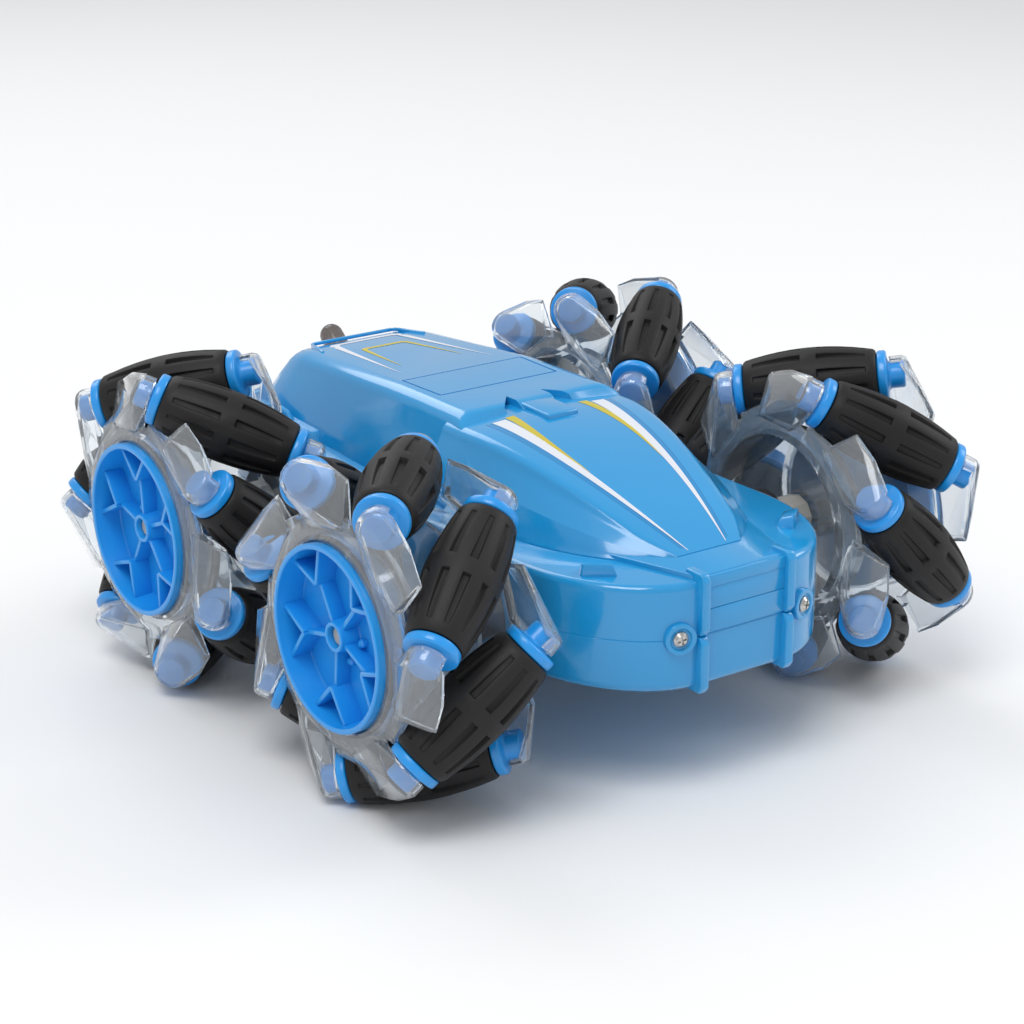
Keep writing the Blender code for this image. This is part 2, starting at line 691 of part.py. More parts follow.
def upper_shell_mesh():
    """Deck, hood, cabin, bumper ribs and tail of the upper half, hollow underneath."""
    shell = slab([(0, PARTING_Z + GAP), (0, DECK_Z - EDGE), (EDGE, DECK_Z)])
    rear = [(x, y) for x, y in plan_outline(EDGE + 0.8) if y > REAR_DECK_Y]
    rear = [(rear[0][0], REAR_DECK_Y)] + rear + [(rear[-1][0], REAR_DECK_Y)]
    rear_deck = loft([[(x, y, z) for x, y in rear] for z in (DECK_Z - 1.0, REAR_DECK_Z)])
    inside_floor = DECK_Z - 4.0
    shell = united(shell, rear_deck, hood_mesh(0, inside_floor), cabin_mesh(0, inside_floor))
    tab = []
    for x in (-TAB_HALF, TAB_HALF):
        tab += [(x, ROOF_FRONT_Y + 2, ROOF_FRONT_Z - 0.4), (x, ROOF_FRONT_Y + 2, ROOF_FRONT_Z - TAB_DEPTH - 2)]
        tab += [(x, ROOF_FRONT_Y - TAB_REACH, ridge_z(-20) + 1.6), (x, ROOF_FRONT_Y - TAB_REACH, ridge_z(-20) - 1)]
    shell = united(shell, hull(tab))
    tail_end = BODY_REAR_Y + TAIL_REACH
    tail = box((-TAIL_HALF, BODY_REAR_Y - 8, PARTING_Z + 4), (TAIL_HALF, tail_end, TAIL_TOP_Z))
    shell = united(shell, tail)

    def fin():
        root = REAR_DECK_Z - 1
        profile = [(FIN_FRONT_Y, root), (FIN_FRONT_Y + 3, REAR_DECK_Z + FIN_HEIGHT * 0.7)]
        profile += [(FIN_REAR_Y, REAR_DECK_Z + FIN_HEIGHT), (FIN_REAR_Y - 2.6, root)]
        return hull([(x, y, z) for x in (FIN_X, FIN_X + FIN_THICKNESS) for y, z in profile])

    def rib_half():
        return bumper_rib(PARTING_Z + GAP, DECK_Z + 1.3)

    shell = united(shell, mirrored_pair(fin), mirrored_pair(rib_half))
    room = slab([(WALL, PARTING_Z - 1), (WALL, DECK_Z - WALL)])
    shell = cut(shell, room, hood_mesh(WALL, DECK_Z - 3 * WALL), cabin_mesh(WALL, DECK_Z - 3.3 * WALL))
    room_low = (WALL - TAIL_HALF, BODY_REAR_Y - 9, PARTING_Z - 1)
    room_high = (TAIL_HALF - WALL, tail_end - WALL, TAIL_TOP_Z - WALL)
    tail_room = box(room_low, room_high)
    notch = box((-NOTCH_HALF, NOTCH_FRONT_Y, DECK_Z + 1.5), (NOTCH_HALF, BODY_REAR_Y + 10, ROOF_FRONT_Z + 5))
    shell = cut(shell, tail_room, notch)
    seat_half = NOTCH_HALF + SEAT_OVERLAP
    seat_low = (-seat_half, SEAT_FRONT_Y, SEAT_TOP_Z - SEAT_THICKNESS)
    shell = united(shell, box(seat_low, (seat_half, SEAT_REAR_Y, SEAT_TOP_Z)))
    for side in (-1, 1):
        frame = boss_frame(side)
        shell = united(shell, moved(disc(BOSS_RADIUS, GAP, BOSS_PROUD + GAP), frame))
        key = box((-2.5, PARTING_Z - BOSS_Z + 5 * GAP, -WALL), (2.5, BOSS_RADIUS - 0.7, 2 * GAP))
        shell = united(shell, moved(key, frame))
        shell = cut(shell, moved(disc(SCREW_SHANK_RADIUS + GAP + 0.1, -6, 3), frame))
    return cut(shell, *snout_holes())


def snout_holes():
    """Round openings in the body's sides for the gearbox snouts."""
    holes = []
    for end in (-1, 1):
        bar = disc((SNOUT_RADIUS + GAP) / math.cos(math.pi / 16), -BODY_HALF_WIDTH - 3, BODY_HALF_WIDTH + 3)
        holes.append(moved(along_x(bar), Matrix.Translation((0, end * HALF_WHEELBASE, AXLE_HEIGHT))))
    return holes


def lower_shell_mesh():
    """The belly tub, with its battery opening, switch slot, side pegs and lower bumper ribs."""
    shell = slab([(BELLY_EDGE, BELLY_Z), (0, BELLY_Z + BELLY_EDGE), (0, PARTING_Z)])

    def peg_bracket():
        arm = box((BODY_HALF_WIDTH - 1, -BRACKET_RADIUS, BELLY_Z + 1), (PEG_X, BRACKET_RADIUS, AXLE_HEIGHT - 4))
        end_round = moved(disc(BRACKET_RADIUS, BELLY_Z + 1, AXLE_HEIGHT - 4), Matrix.Translation((PEG_X, 0, 0)))
        peg = moved(disc(PEG_RADIUS, AXLE_HEIGHT - 5, AXLE_HEIGHT + 4), Matrix.Translation((PEG_X, 0, 0)))
        return united(arm, end_round, peg)

    def rib_half():
        return bumper_rib(BELLY_Z - 1.0, PARTING_Z)

    shell = united(shell, mirrored_pair(peg_bracket), mirrored_pair(rib_half))
    shell = cut(shell, slab([(WALL, BELLY_Z + FLOOR_THICKNESS), (WALL, PARTING_Z + 1)]))
    tail_high = (TAIL_HALF, BODY_REAR_Y + TAIL_REACH, PARTING_Z - GAP)
    tail = box((-TAIL_HALF, BODY_REAR_Y - 3, BELLY_Z + 3), tail_high)
    shell = united(shell, tail)
    ledge = box((-LEDGE_HALF_X, DOOR_HALF_Y - 4, BELLY_Z + FLOOR_THICKNESS + GAP),
                (LEDGE_HALF_X, DOOR_HALF_Y + 4, BELLY_Z + FLOOR_THICKNESS + LEDGE_TOP))
    foot_high = (LEDGE_HALF_X, DOOR_HALF_Y + 4, BELLY_Z + FLOOR_THICKNESS + 1)
    foot = box((-LEDGE_HALF_X, DOOR_HALF_Y + 1, BELLY_Z + 1), foot_high)
    shell = united(shell, united(ledge, foot))
    bay_top = BELLY_Z + FLOOR_THICKNESS + GAP
    bay = box((-DOOR_HALF_X, -DOOR_HALF_Y, BELLY_Z - 1), (DOOR_HALF_X, DOOR_HALF_Y, bay_top))
    slot = box((-KNOB_HALF_X - GAP, SWITCH_Y - KNOB_HALF_Y - GAP, BELLY_Z - 1),
               (KNOB_HALF_X + GAP, SWITCH_Y + KNOB_HALF_Y + SWITCH_TRAVEL + GAP, BELLY_Z + FLOOR_THICKNESS + 1))
    screw_hole = disc(SCREW_SHANK_RADIUS + GAP + 0.1, BELLY_Z, BELLY_Z + 20, 12)
    shell = cut(shell, bay, slot, moved(screw_hole, Matrix.Translation((0, DOOR_SCREW_Y, 0))))
    for side in (-1, 1):
        shell = cut(shell, moved(disc(SCREW_SHANK_RADIUS + GAP + 0.1, -6, 3), boss_frame(side)))
    return cut(shell, *snout_holes())


def screw_mesh(head_radius, head_height, length):
    """A round-headed screw, its head's underside at zero and its shank below."""
    profile = [(0, -length), (SCREW_SHANK_RADIUS, -length), (SCREW_SHANK_RADIUS, 0), (head_radius, 0)]
    profile += [(head_radius, head_height * 0.5), (head_radius * 0.6, head_height), (0, head_height)]
    return lathe(profile, 12)


def door_mesh():
    """The battery door, flush with the belly, with a counterbored screw hole."""
    half_x = DOOR_HALF_X - GAP
    half_y = DOOR_HALF_Y - GAP
    plate = box((-half_x, -half_y, BELLY_Z), (half_x, half_y, BELLY_Z + FLOOR_THICKNESS))
    place = Matrix.Translation((0, DOOR_SCREW_Y, 0))
    hole = disc(SCREW_SHANK_RADIUS + GAP + 0.1, BELLY_Z - 1, BELLY_Z + 3, 12)
    counterbore = disc(DOOR_SCREW_HEAD + GAP + 0.1, BELLY_Z - 1, BELLY_Z + 1.0, 12)
    return cut(plate, moved(hole, place.copy()), moved(counterbore, place.copy()))


def battery_mesh():
    """Two round cells side by side in a shrink sleeve."""
    low = BELLY_Z + FLOOR_THICKNESS + GAP
    radius = BATTERY_HEIGHT / 2
    points = []
    for side in (-1, 1):
        for index in range(12):
            angle = 2 * math.pi * index / 12
            x = side * (BATTERY_HALF_X - radius) + radius * math.cos(angle)
            z = low + radius + radius * math.sin(angle)
            points += [(x, -BATTERY_HALF_Y, z), (x, BATTERY_HALF_Y, z)]
    return hull(points)


def board_mesh():
    """The control board with its receiver chip and drive chips."""
    low = BELLY_Z + FLOOR_THICKNESS + BATTERY_HEIGHT + 2 * GAP
    top = low + BOARD_THICKNESS
    plate = box((-BOARD_HALF_X, -BOARD_HALF_Y, low), (BOARD_HALF_X, BOARD_HALF_Y, top))
    chips = joined([
        box((-4, -4, top - 0.5), (4, 4, top + 1.6)),
        box((-13, 8, top - 0.5), (-7, 13, top + 1.4)),
        box((7, 8, top - 0.5), (13, 13, top + 1.4)),
        box((-6, -20, top - 0.5), (6, -14, top + 4.0)),
    ])
    return united(plate, chips)


def switch_meshes():
    """The sliding power knob and the fixed switch case above it."""
    floor_top = BELLY_Z + FLOOR_THICKNESS
    plate_top = floor_top + GAP + 1.0
    reach = KNOB_HALF_Y + SWITCH_TRAVEL + 1.0
    knob = box((-KNOB_HALF_X, SWITCH_Y - KNOB_HALF_Y, BELLY_Z - KNOB_REACH),
               (KNOB_HALF_X, SWITCH_Y + KNOB_HALF_Y, floor_top + GAP + 0.5))
    plate_half = KNOB_HALF_X + 1.2
    plate = box((-plate_half, SWITCH_Y - reach, floor_top + GAP), (plate_half, SWITCH_Y + reach, plate_top))
    case = box((-4.0, SWITCH_Y - 7.0, plate_top + GAP), (4.0, SWITCH_Y + 9.0, plate_top + 6.0))
    return united(knob, plate), case


def lens_mesh():
    """A smoked capsule that leans back out of the tail notch, on a stem that stands on the shell's seat."""
    foot = Vector((0, *LENS_FOOT))
    tip = Vector((0, *LENS_TIP))
    turn = Vector((0, 0, 1)).rotation_difference(tip - foot).to_matrix().to_4x4()
    profile = [(0, -LENS_RADIUS)]
    for step in range(1, 5):
        angle = math.pi / 2 * step / 4
        profile.append((LENS_RADIUS * math.sin(angle), -LENS_RADIUS * math.cos(angle)))
    length = (tip - foot).length
    profile += [(radius, length - height) for radius, height in reversed(profile)]
    capsule = moved(lathe(profile, 16), Matrix.Translation(foot) @ turn)
    stem = disc(LENS_STEM_RADIUS, SEAT_TOP_Z + GAP, (LENS_FOOT[1] + LENS_TIP[1]) / 2)
    return united(capsule, moved(stem, Matrix.Translation((0, LENS_STEM_Y, 0))))


def build_body(looks):
    """The shells and everything they hold."""
    solid_object("upper_shell", upper_shell_mesh(), looks["body_blue"])
    solid_object("lower_shell", lower_shell_mesh(), looks["body_blue"])
    solid_object("battery_door", door_mesh(), looks["body_blue"])
    solid_object("battery_pack", battery_mesh(), looks["dark"])
    solid_object("circuit_board", board_mesh(), looks["board_green"])
    knob, case = switch_meshes()
    solid_object("power_switch", knob, looks["dark"])
    solid_object("switch_case", case, looks["grey"])
    solid_object("tail_lens", lens_mesh(), looks["smoked"])
    for side, name in ((-1, "left"), (1, "right")):
        frame = boss_frame(side) @ Matrix.Translation((0, 0, BOSS_PROUD + 2 * GAP))
        screw = screw_mesh(SCREW_HEAD_RADIUS, 0.9, SCREW_LENGTH)
        solid_object("bumper_screw_" + name, screw, looks["steel"], frame)
    door_screw = moved(screw_mesh(DOOR_SCREW_HEAD, 0.8, 5.5), Matrix.Rotation(math.pi, 4, "X"))
    place = Matrix.Translation((0, DOOR_SCREW_Y, BELLY_Z + 1.0 - GAP))
    solid_object("door_screw", door_screw, looks["steel"], place)


def main():
    for old in list(bpy.data.objects):
        bpy.data.objects.remove(old)
    looks = {
        "body_blue": make_material("body_blue", (0.02, 0.33, 0.75), 0.25),
        "hub_blue": make_material("hub_blue", (0.01, 0.22, 0.75), 0.35),
        "rubber": make_material("rubber", (0.03, 0.03, 0.03), 0.7),
        "clear": make_material("clear", (0.85, 0.88, 0.9), 0.08, alpha=0.3),
        "dark": make_material("dark", (0.03, 0.03, 0.035), 0.45),
        "grey": make_material("grey", (0.45, 0.45, 0.43), 0.5),
        "steel": make_material("steel", (0.6, 0.6, 0.6), 0.3, 1.0),
        "board_green": make_material("board_green", (0.02, 0.2, 0.08), 0.5),
        "smoked": make_material("smoked", (0.01, 0.01, 0.012), 0.08),
    }
    build_wheels(looks)
    build_body(looks)


main()
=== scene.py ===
# Looks for a toy stunt car: a glossy blue body between four clear wheels with ribbed rubber rollers.
# Lengths are in metres in the frame's axes: +Z up, the front towards -Y, the width along X.

import json
import math

import bmesh
import bpy
from mathutils import Matrix, Vector


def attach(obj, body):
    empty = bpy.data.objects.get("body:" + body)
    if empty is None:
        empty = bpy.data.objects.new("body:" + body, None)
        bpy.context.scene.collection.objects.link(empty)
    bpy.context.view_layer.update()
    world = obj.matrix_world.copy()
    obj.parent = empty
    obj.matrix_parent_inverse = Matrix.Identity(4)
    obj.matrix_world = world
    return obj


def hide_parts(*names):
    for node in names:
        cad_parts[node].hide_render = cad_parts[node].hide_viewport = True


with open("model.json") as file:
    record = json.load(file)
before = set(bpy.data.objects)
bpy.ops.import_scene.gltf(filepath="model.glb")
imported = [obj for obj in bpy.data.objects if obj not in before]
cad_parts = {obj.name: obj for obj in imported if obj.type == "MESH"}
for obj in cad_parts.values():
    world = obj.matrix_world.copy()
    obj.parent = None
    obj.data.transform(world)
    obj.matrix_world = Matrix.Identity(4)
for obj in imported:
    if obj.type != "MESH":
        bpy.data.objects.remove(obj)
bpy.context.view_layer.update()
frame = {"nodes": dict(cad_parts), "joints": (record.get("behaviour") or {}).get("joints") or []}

MM = 0.001
JOINTS = {joint["name"]: joint for joint in frame["joints"]}
PLACES = ("front_left", "rear_left", "front_right", "rear_right")
AXLE_Z = JOINTS["front_left_wheel_spin"]["pos_m"][2]

# Rollers
WHEEL_RADIUS = AXLE_Z
ROLLER_COUNT = 7
ROLLER_STEP = 2 * math.pi / ROLLER_COUNT
ROLLER_ORBIT = 31.2 * MM
SLEEVE_HALF = 16 * MM
SLEEVE_BORE = 4.9 * MM
GROOVES = 11
COLUMNS_PER_GROOVE = 5
BAND_HALF = 1.9 * MM
GROOVE_END = 13.6 * MM
COLLAR_RADIUS = 6.2 * MM
PIN_RADIUS = 3.2 * MM
PIN_END = 22.6 * MM

# Clear shells, measured outwards from the wheel's mid-plane
CUP_RADIUS = 4.65 * MM
CUP_START = 18.9 * MM
CUP_END = 23.7 * MM
SHELL_WALL = 1.0 * MM
FLANGE_INNER = 14.2 * MM
FLANGE_OUTER = 16.3 * MM
FLANGE_RADIUS = 26.6 * MM
POCKET_RADIUS = 21.4 * MM
POCKET_FLOOR = 6.7 * MM

# Hub
HUB_RADIUS = 21 * MM
HUB_RIM_FACE = 17.8 * MM
HUB_DISC = 11 * MM
HUB_FORK_RADIUS = 12 * MM
HUB_FORK_ANGLE = math.radians(17)

# Body, heights from the ground
HALF_WIDTH = 38 * MM
FRONT_Y = -86 * MM
REAR_Y = 85 * MM
FRONT_CORNER = Vector((12, -50)) * MM
REAR_CORNER = Vector((10, 50)) * MM
BELLY_Z = AXLE_Z - 13.7 * MM
PARTING_Z = AXLE_Z - 1.15 * MM
DECK_Z = AXLE_Z + 11.3 * MM
REAR_DECK_Z = AXLE_Z + 13.8 * MM
HOOD_FRONT_Y = -73.8 * MM
HOOD_REAR_Y = -6 * MM
HOOD_TOP_Y = -16 * MM
HOOD_BASE_HALF = 30.3 * MM
ROOF_FRONT_Y = -9 * MM
ROOF_SLOPE_Y = 20 * MM
ROOF_REAR_Y = 73 * MM
ROOF_FRONT_Z = AXLE_Z + 31.5 * MM
ROOF_REAR_Z = AXLE_Z + 28.4 * MM
RIB_X = 12.2 * MM
BOSS_X = 17.5 * MM
BOSS_Z = AXLE_Z - 1 * MM
BOSS_RADIUS = 3.7 * MM
BOSS_PROUD = 1.1 * MM
ARCH_FLARE = 3 * MM
LENS_RADIUS = 3.1 * MM
LENS_FOOT = Vector((0, 74.6 * MM, AXLE_Z + 21.5 * MM))
LENS_TIP = Vector((0, 80.6 * MM, AXLE_Z + 26.4 * MM))
LENS_STEM_Y = 79 * MM


# ---------------------------------------------------------------- materials

def finish_material(name, colour, roughness, grain_size, grain_depth, tint=0.04, sockets=()):
    """A moulded finish: slight colour drift, uneven gloss and a fine surface grain."""
    material = bpy.data.materials.new(name)
    material.use_nodes = True
    nodes = material.node_tree.nodes
    links = material.node_tree.links
    shader = nodes["Principled BSDF"]
    for socket, value in sockets:
        shader.inputs[socket].default_value = value
    place = nodes.new("ShaderNodeTexCoord")
    drift = nodes.new("ShaderNodeTexNoise")
    drift.inputs["Scale"].default_value = 22
    drift.inputs["Detail"].default_value = 2
    links.new(place.outputs["Object"], drift.inputs["Vector"])
    shades = nodes.new("ShaderNodeValToRGB")
    shades.color_ramp.elements[0].position = 0.3
    shades.color_ramp.elements[0].color = (*[part * (1 - tint) for part in colour], 1)
    shades.color_ramp.elements[1].position = 0.7
    shades.color_ramp.elements[1].color = (*[min(1, part * (1 + tint)) for part in colour], 1)
    links.new(drift.outputs["Fac"], shades.inputs["Fac"])
    links.new(shades.outputs["Color"], shader.inputs["Base Color"])
    grain = nodes.new("ShaderNodeTexNoise")
    grain.inputs["Scale"].default_value = 1 / grain_size
    grain.inputs["Detail"].default_value = 3
    links.new(place.outputs["Object"], grain.inputs["Vector"])
    gloss = nodes.new("ShaderNodeMapRange")
    gloss.inputs["To Min"].default_value = roughness * 0.85
    gloss.inputs["To Max"].default_value = roughness * 1.2
    links.new(grain.outputs["Fac"], gloss.inputs["Value"])
    links.new(gloss.outputs["Result"], shader.inputs["Roughness"])
    bump = nodes.new("ShaderNodeBump")
    bump.inputs["Strength"].default_value = 0.35
    bump.inputs["Distance"].default_value = grain_depth
    links.new(grain.outputs["Fac"], bump.inputs["Height"])
    links.new(bump.outputs["Normal"], shader.inputs["Normal"])
    return material


BODY_BLUE = finish_material("body_blue_gloss", (0.012, 0.30, 0.66), 0.17, 2.5 * MM, 0.02 * MM,
                            sockets=(("Coat Weight", 0.6), ("Coat Roughness", 0.06)))
LINE_BLUE = finish_material("panel_line_blue", (0.004, 0.11, 0.36), 0.4, 1 * MM, 0.02 * MM)
HUB_BLUE = finish_material("hub_blue_plastic", (0.012, 0.30, 0.78), 0.3, 1.5 * MM, 0.02 * MM,
                           sockets=(("Coat Weight", 0.3),))
SLEEVE_BLACK = finish_material("sleeve_black_rubber", (0.016, 0.015, 0.015), 0.5, 0.5 * MM, 0.12 * MM, 0.25,
                               sockets=(("Specular IOR Level", 0.25),))
DARK = finish_material("gearbox_dark_plastic", (0.02, 0.021, 0.024), 0.4, 0.8 * MM, 0.05 * MM, 0.15)
FROST = finish_material("frosted_grey_plastic", (0.42, 0.41, 0.38), 0.35, 0.8 * MM, 0.05 * MM, 0.1)
STEEL = finish_material("screw_steel", (0.55, 0.54, 0.52), 0.28, 0.4 * MM, 0.02 * MM, 0.1,
                        sockets=(("Metallic", 1.0),))
BOARD = finish_material("board_green_mask", (0.02, 0.2, 0.08), 0.4, 0.6 * MM, 0.03 * MM, 0.1)
SMOKED = finish_material("smoked_lens_plastic", (0.16, 0.14, 0.13), 0.06, 1 * MM, 0.01 * MM, 0.2,
                         sockets=(("Transmission Weight", 0.8), ("IOR", 1.46)))
STICKER_WHITE = finish_material("sticker_white", (0.70, 0.73, 0.80), 0.35, 0.8 * MM, 0.01 * MM, 0.02)
STICKER_YELLOW = finish_material("sticker_yellow", (0.56, 0.47, 0.03), 0.35, 0.8 * MM, 0.01 * MM, 0.03)
CLEAR = finish_material("clear_polished_plastic", (0.90, 0.94, 0.97), 0.04, 1.6 * MM, 0.03 * MM, 0.01,
                        sockets=(("Transmission Weight", 0.9), ("IOR", 1.2), ("Coat Weight", 1.0),
                                 ("Coat IOR", 1.5), ("Coat Roughness", 0.03)))


# ---------------------------------------------------------------- making pieces

def fresh(name, primitive, **settings):
    """Adds a primitive with nothing else selected."""
    bpy.ops.object.select_all(action="DESELECT")
    primitive(**settings)
    piece = bpy.context.object
    piece.name = name
    piece.data.name = name
    return piece


def pick(piece):
    bpy.ops.object.select_all(action="DESELECT")
    piece.select_set(True)
    bpy.context.view_layer.objects.active = piece


def select_faces(piece, wanted):
    """Selects, in edit mode, the faces whose centre and normal pass the test."""
    shape = bmesh.from_edit_mesh(piece.data)
    for face in shape.faces:
        face.select_set(wanted(face.calc_center_median(), face.normal))
    bmesh.update_edit_mesh(piece.data)


def modify(piece, kind, **settings):
    """Adds a modifier and applies it."""
    pick(piece)
    modifier = piece.modifiers.new(kind.lower(), kind)
    for setting, value in settings.items():
        setattr(modifier, setting, value)
    bpy.ops.object.modifier_apply(modifier=modifier.name)
    return piece


def round_edges(piece, width, segments=2, angle=35):
    return modify(piece, "BEVEL", width=width, segments=segments, limit_method="ANGLE",
                  angle_limit=math.radians(angle), use_clamp_overlap=True)


def face_out(piece):
    """Merges doubled points and turns every face outwards."""
    pick(piece)
    bpy.ops.object.mode_set(mode="EDIT")
    bpy.ops.mesh.select_all(action="SELECT")
    bpy.ops.mesh.remove_doubles(threshold=0.001 * MM)
    bpy.ops.mesh.normals_make_consistent(inside=False)
    bpy.ops.object.mode_set(mode="OBJECT")
    return piece


def turned(name, profile, segments, closed=False):
    """A ring drawn through (radius, height) points about Z, with its ends filled or joined up."""
    radius, height = profile[0]
    piece = fresh(name, bpy.ops.mesh.primitive_circle_add, vertices=segments, radius=radius,
                  location=(0, 0, height))
    bpy.ops.object.transform_apply()
    bpy.ops.object.mode_set(mode="EDIT")
    bpy.ops.mesh.select_all(action="SELECT")
    for next_radius, next_height in profile[1:]:
        bpy.ops.mesh.extrude_region_move(TRANSFORM_OT_translate={"value": (0, 0, next_height - height)})
        grow = next_radius / radius
        bpy.ops.transform.resize(value=(grow, grow, 1), center_override=(0, 0, next_height))
        radius, height = next_radius, next_height
    bpy.ops.mesh.select_all(action="DESELECT")
    bpy.ops.mesh.select_mode(type="EDGE")
    bpy.ops.mesh.select_non_manifold()
    if closed:
        bpy.ops.mesh.bridge_edge_loops()
    else:
        bpy.ops.mesh.fill_holes(sides=0)
    bpy.ops.mesh.select_mode(type="VERT")
    bpy.ops.object.mode_set(mode="OBJECT")
    return face_out(piece)


def plate(name, outline, sweep):
    """A flat outline of points, filled and drawn out along a vector."""
    piece = fresh(name, bpy.ops.mesh.primitive_circle_add, vertices=len(outline), radius=MM, fill_type="NGON")
    for vertex, point in zip(piece.data.vertices, outline):
        vertex.co = point
    bpy.ops.object.mode_set(mode="EDIT")
    bpy.ops.mesh.select_all(action="SELECT")
    bpy.ops.mesh.extrude_region_move(TRANSFORM_OT_translate={"value": sweep})
    bpy.ops.object.mode_set(mode="OBJECT")
    return face_out(piece)


def skin(name, rows, wrap=False, cap=True):
    """A grid whose lines are moved onto rows of points; wrap closes each row into a loop."""
    if wrap:
        rows = [list(row) + [row[0]] for row in rows]
    piece = fresh(name, bpy.ops.mesh.primitive_grid_add, x_subdivisions=len(rows[0]) - 1,
                  y_subdivisions=len(rows) - 1, size=MM)
    points = [point for row in rows for point in row]
    for vertex, point in zip(piece.data.vertices, points):
        vertex.co = point
    face_out(piece)
    if cap:
        bpy.ops.object.mode_set(mode="EDIT")
        bpy.ops.mesh.select_all(action="DESELECT")
        bpy.ops.mesh.select_mode(type="EDGE")
        bpy.ops.mesh.select_non_manifold()
        bpy.ops.mesh.fill_holes(sides=0)
        bpy.ops.mesh.select_mode(type="VERT")
        bpy.ops.object.mode_set(mode="OBJECT")
    return face_out(piece)


def hulled(name, points):
    """The convex solid around a few points."""
    piece = fresh(name, bpy.ops.mesh.primitive_circle_add, vertices=len(points), radius=MM)
    for vertex, point in zip(piece.data.vertices, points):
        vertex.co = point
    bpy.ops.object.mode_set(mode="EDIT")
    bpy.ops.mesh.select_all(action="SELECT")
    bpy.ops.mesh.delete(type="EDGE_FACE")
    bpy.ops.mesh.select_all(action="SELECT")
    bpy.ops.mesh.convex_hull()
    bpy.ops.mesh.select_all(action="DESELECT")
    bpy.ops.mesh.select_loose()
    bpy.ops.mesh.delete(type="VERT")
    bpy.ops.object.mode_set(mode="OBJECT")
    return face_out(piece)


def placed(piece, matrix):
    """Moves the piece's mesh, and turns its faces back if the matrix mirrors it."""
    piece.data.transform(matrix)
    if matrix.determinant() < 0:
        piece.data.flip_normals()
    return piece


def copy_of(piece, name):
    double = piece.copy()
    double.data = piece.data.copy()
    double.name = name
    double.data.name = name
    bpy.context.scene.collection.objects.link(double)
    return double


def both_sides(piece):
    """Adds the mirrored twin across the car's middle and joins it on."""
    twin = placed(copy_of(piece, piece.name + "_twin"), Matrix.Scale(-1, 4, (1, 0, 0)))
    return joined(piece, twin)


def joined(*pieces):
    pick(pieces[0])
    for piece in pieces[1:]:
        piece.select_set(True)
    bpy.ops.object.join()
    return pieces[0]


def combined(piece, other, operation):
    """Unites a piece with another, or cuts the other out of it."""
    modify(piece, "BOOLEAN", operation=operation, solver="EXACT", object=other)
    bpy.data.objects.remove(other)
    return piece


def shaded(piece, angle=30):
    pick(piece)
    bpy.ops.object.shade_smooth_by_angle(angle=math.radians(angle))
    return piece


def dressed(piece, material, slot, body, *nodes, angle=30):
    """Gives a finished piece its material, its body and the nodes that it stands for."""
    piece.data.materials.clear()
    piece.data.materials.append(material)
    if angle is not None:
        shaded(piece, angle)
    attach(piece, body)
    if nodes:
        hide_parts(*nodes)
    return piece


# ---------------------------------------------------------------- rollers

def sleeve_radius(along):
    """Barrel radius that keeps the roller's outer side on the wheel's rolling circle."""
    return WHEEL_RADIUS - math.sqrt(ROLLER_ORBIT**2 + along**2 / 2)


def make_sleeve():
    """A rubber barrel with a smooth middle band and two rows of tapering grooves."""
    heights = [BAND_HALF, 4.5 * MM, 7.5 * MM, 10.5 * MM, GROOVE_END, 15.4 * MM]
    half = [(sleeve_radius(height), height) for height in heights]
    half.append((sleeve_radius(SLEEVE_HALF) - 0.35 * MM, SLEEVE_HALF))
    half.append((SLEEVE_BORE, SLEEVE_HALF))
    profile = [(radius, -height) for radius, height in reversed(half)]
    profile += [(sleeve_radius(0), 0)] + half
    sleeve = turned("sleeve", profile, GROOVES * COLUMNS_PER_GROOVE, closed=True)
    pitch = 2 * math.pi / GROOVES
    column = pitch / COLUMNS_PER_GROOVE

    def groove_share(point):
        """0 at the band and 1 at the groove's far end."""
        return (abs(point.z) - BAND_HALF) / (GROOVE_END - BAND_HALF)

    for vertex in sleeve.data.vertices:
        point = vertex.co
        angle = math.atan2(point.y, point.x)
        from_middle = (angle / pitch - round(angle / pitch)) * pitch
        share = groove_share(point)
        if -0.01 < share < 1.01 and point.xy.length > SLEEVE_BORE + MM and abs(from_middle) < column * 1.1:
            squeeze = 1.0 - 0.45 * share
            point.xy = Matrix.Rotation(from_middle * (squeeze - 1), 2) @ point.xy
    pick(sleeve)
    bpy.ops.object.mode_set(mode="EDIT")
    bpy.ops.mesh.select_mode(type="FACE")

    def in_groove(centre, normal):
        angle = math.atan2(centre.y, centre.x)
        from_middle = (angle / pitch - round(angle / pitch)) * pitch
        outside = normal.xy.dot(centre.xy) > 0 and centre.xy.length > SLEEVE_BORE + MM
        return outside and BAND_HALF < abs(centre.z) < GROOVE_END and abs(from_middle) < column

    select_faces(sleeve, in_groove)
    bpy.ops.mesh.inset(thickness=0.16 * MM)
    shape = bmesh.from_edit_mesh(sleeve.data)
    for vertex in {vertex for face in shape.faces if face.select for vertex in face.verts}:
        share = min(1, max(0, groove_share(vertex.co)))
        depth = (1.15 - 0.75 * share) * MM
        vertex.co.xy *= 1 - depth / vertex.co.xy.length
    bmesh.update_edit_mesh(sleeve.data)
    bpy.ops.mesh.select_mode(type="VERT")
    bpy.ops.object.mode_set(mode="OBJECT")
    return round_edges(sleeve, 0.14 * MM, 2, 40)


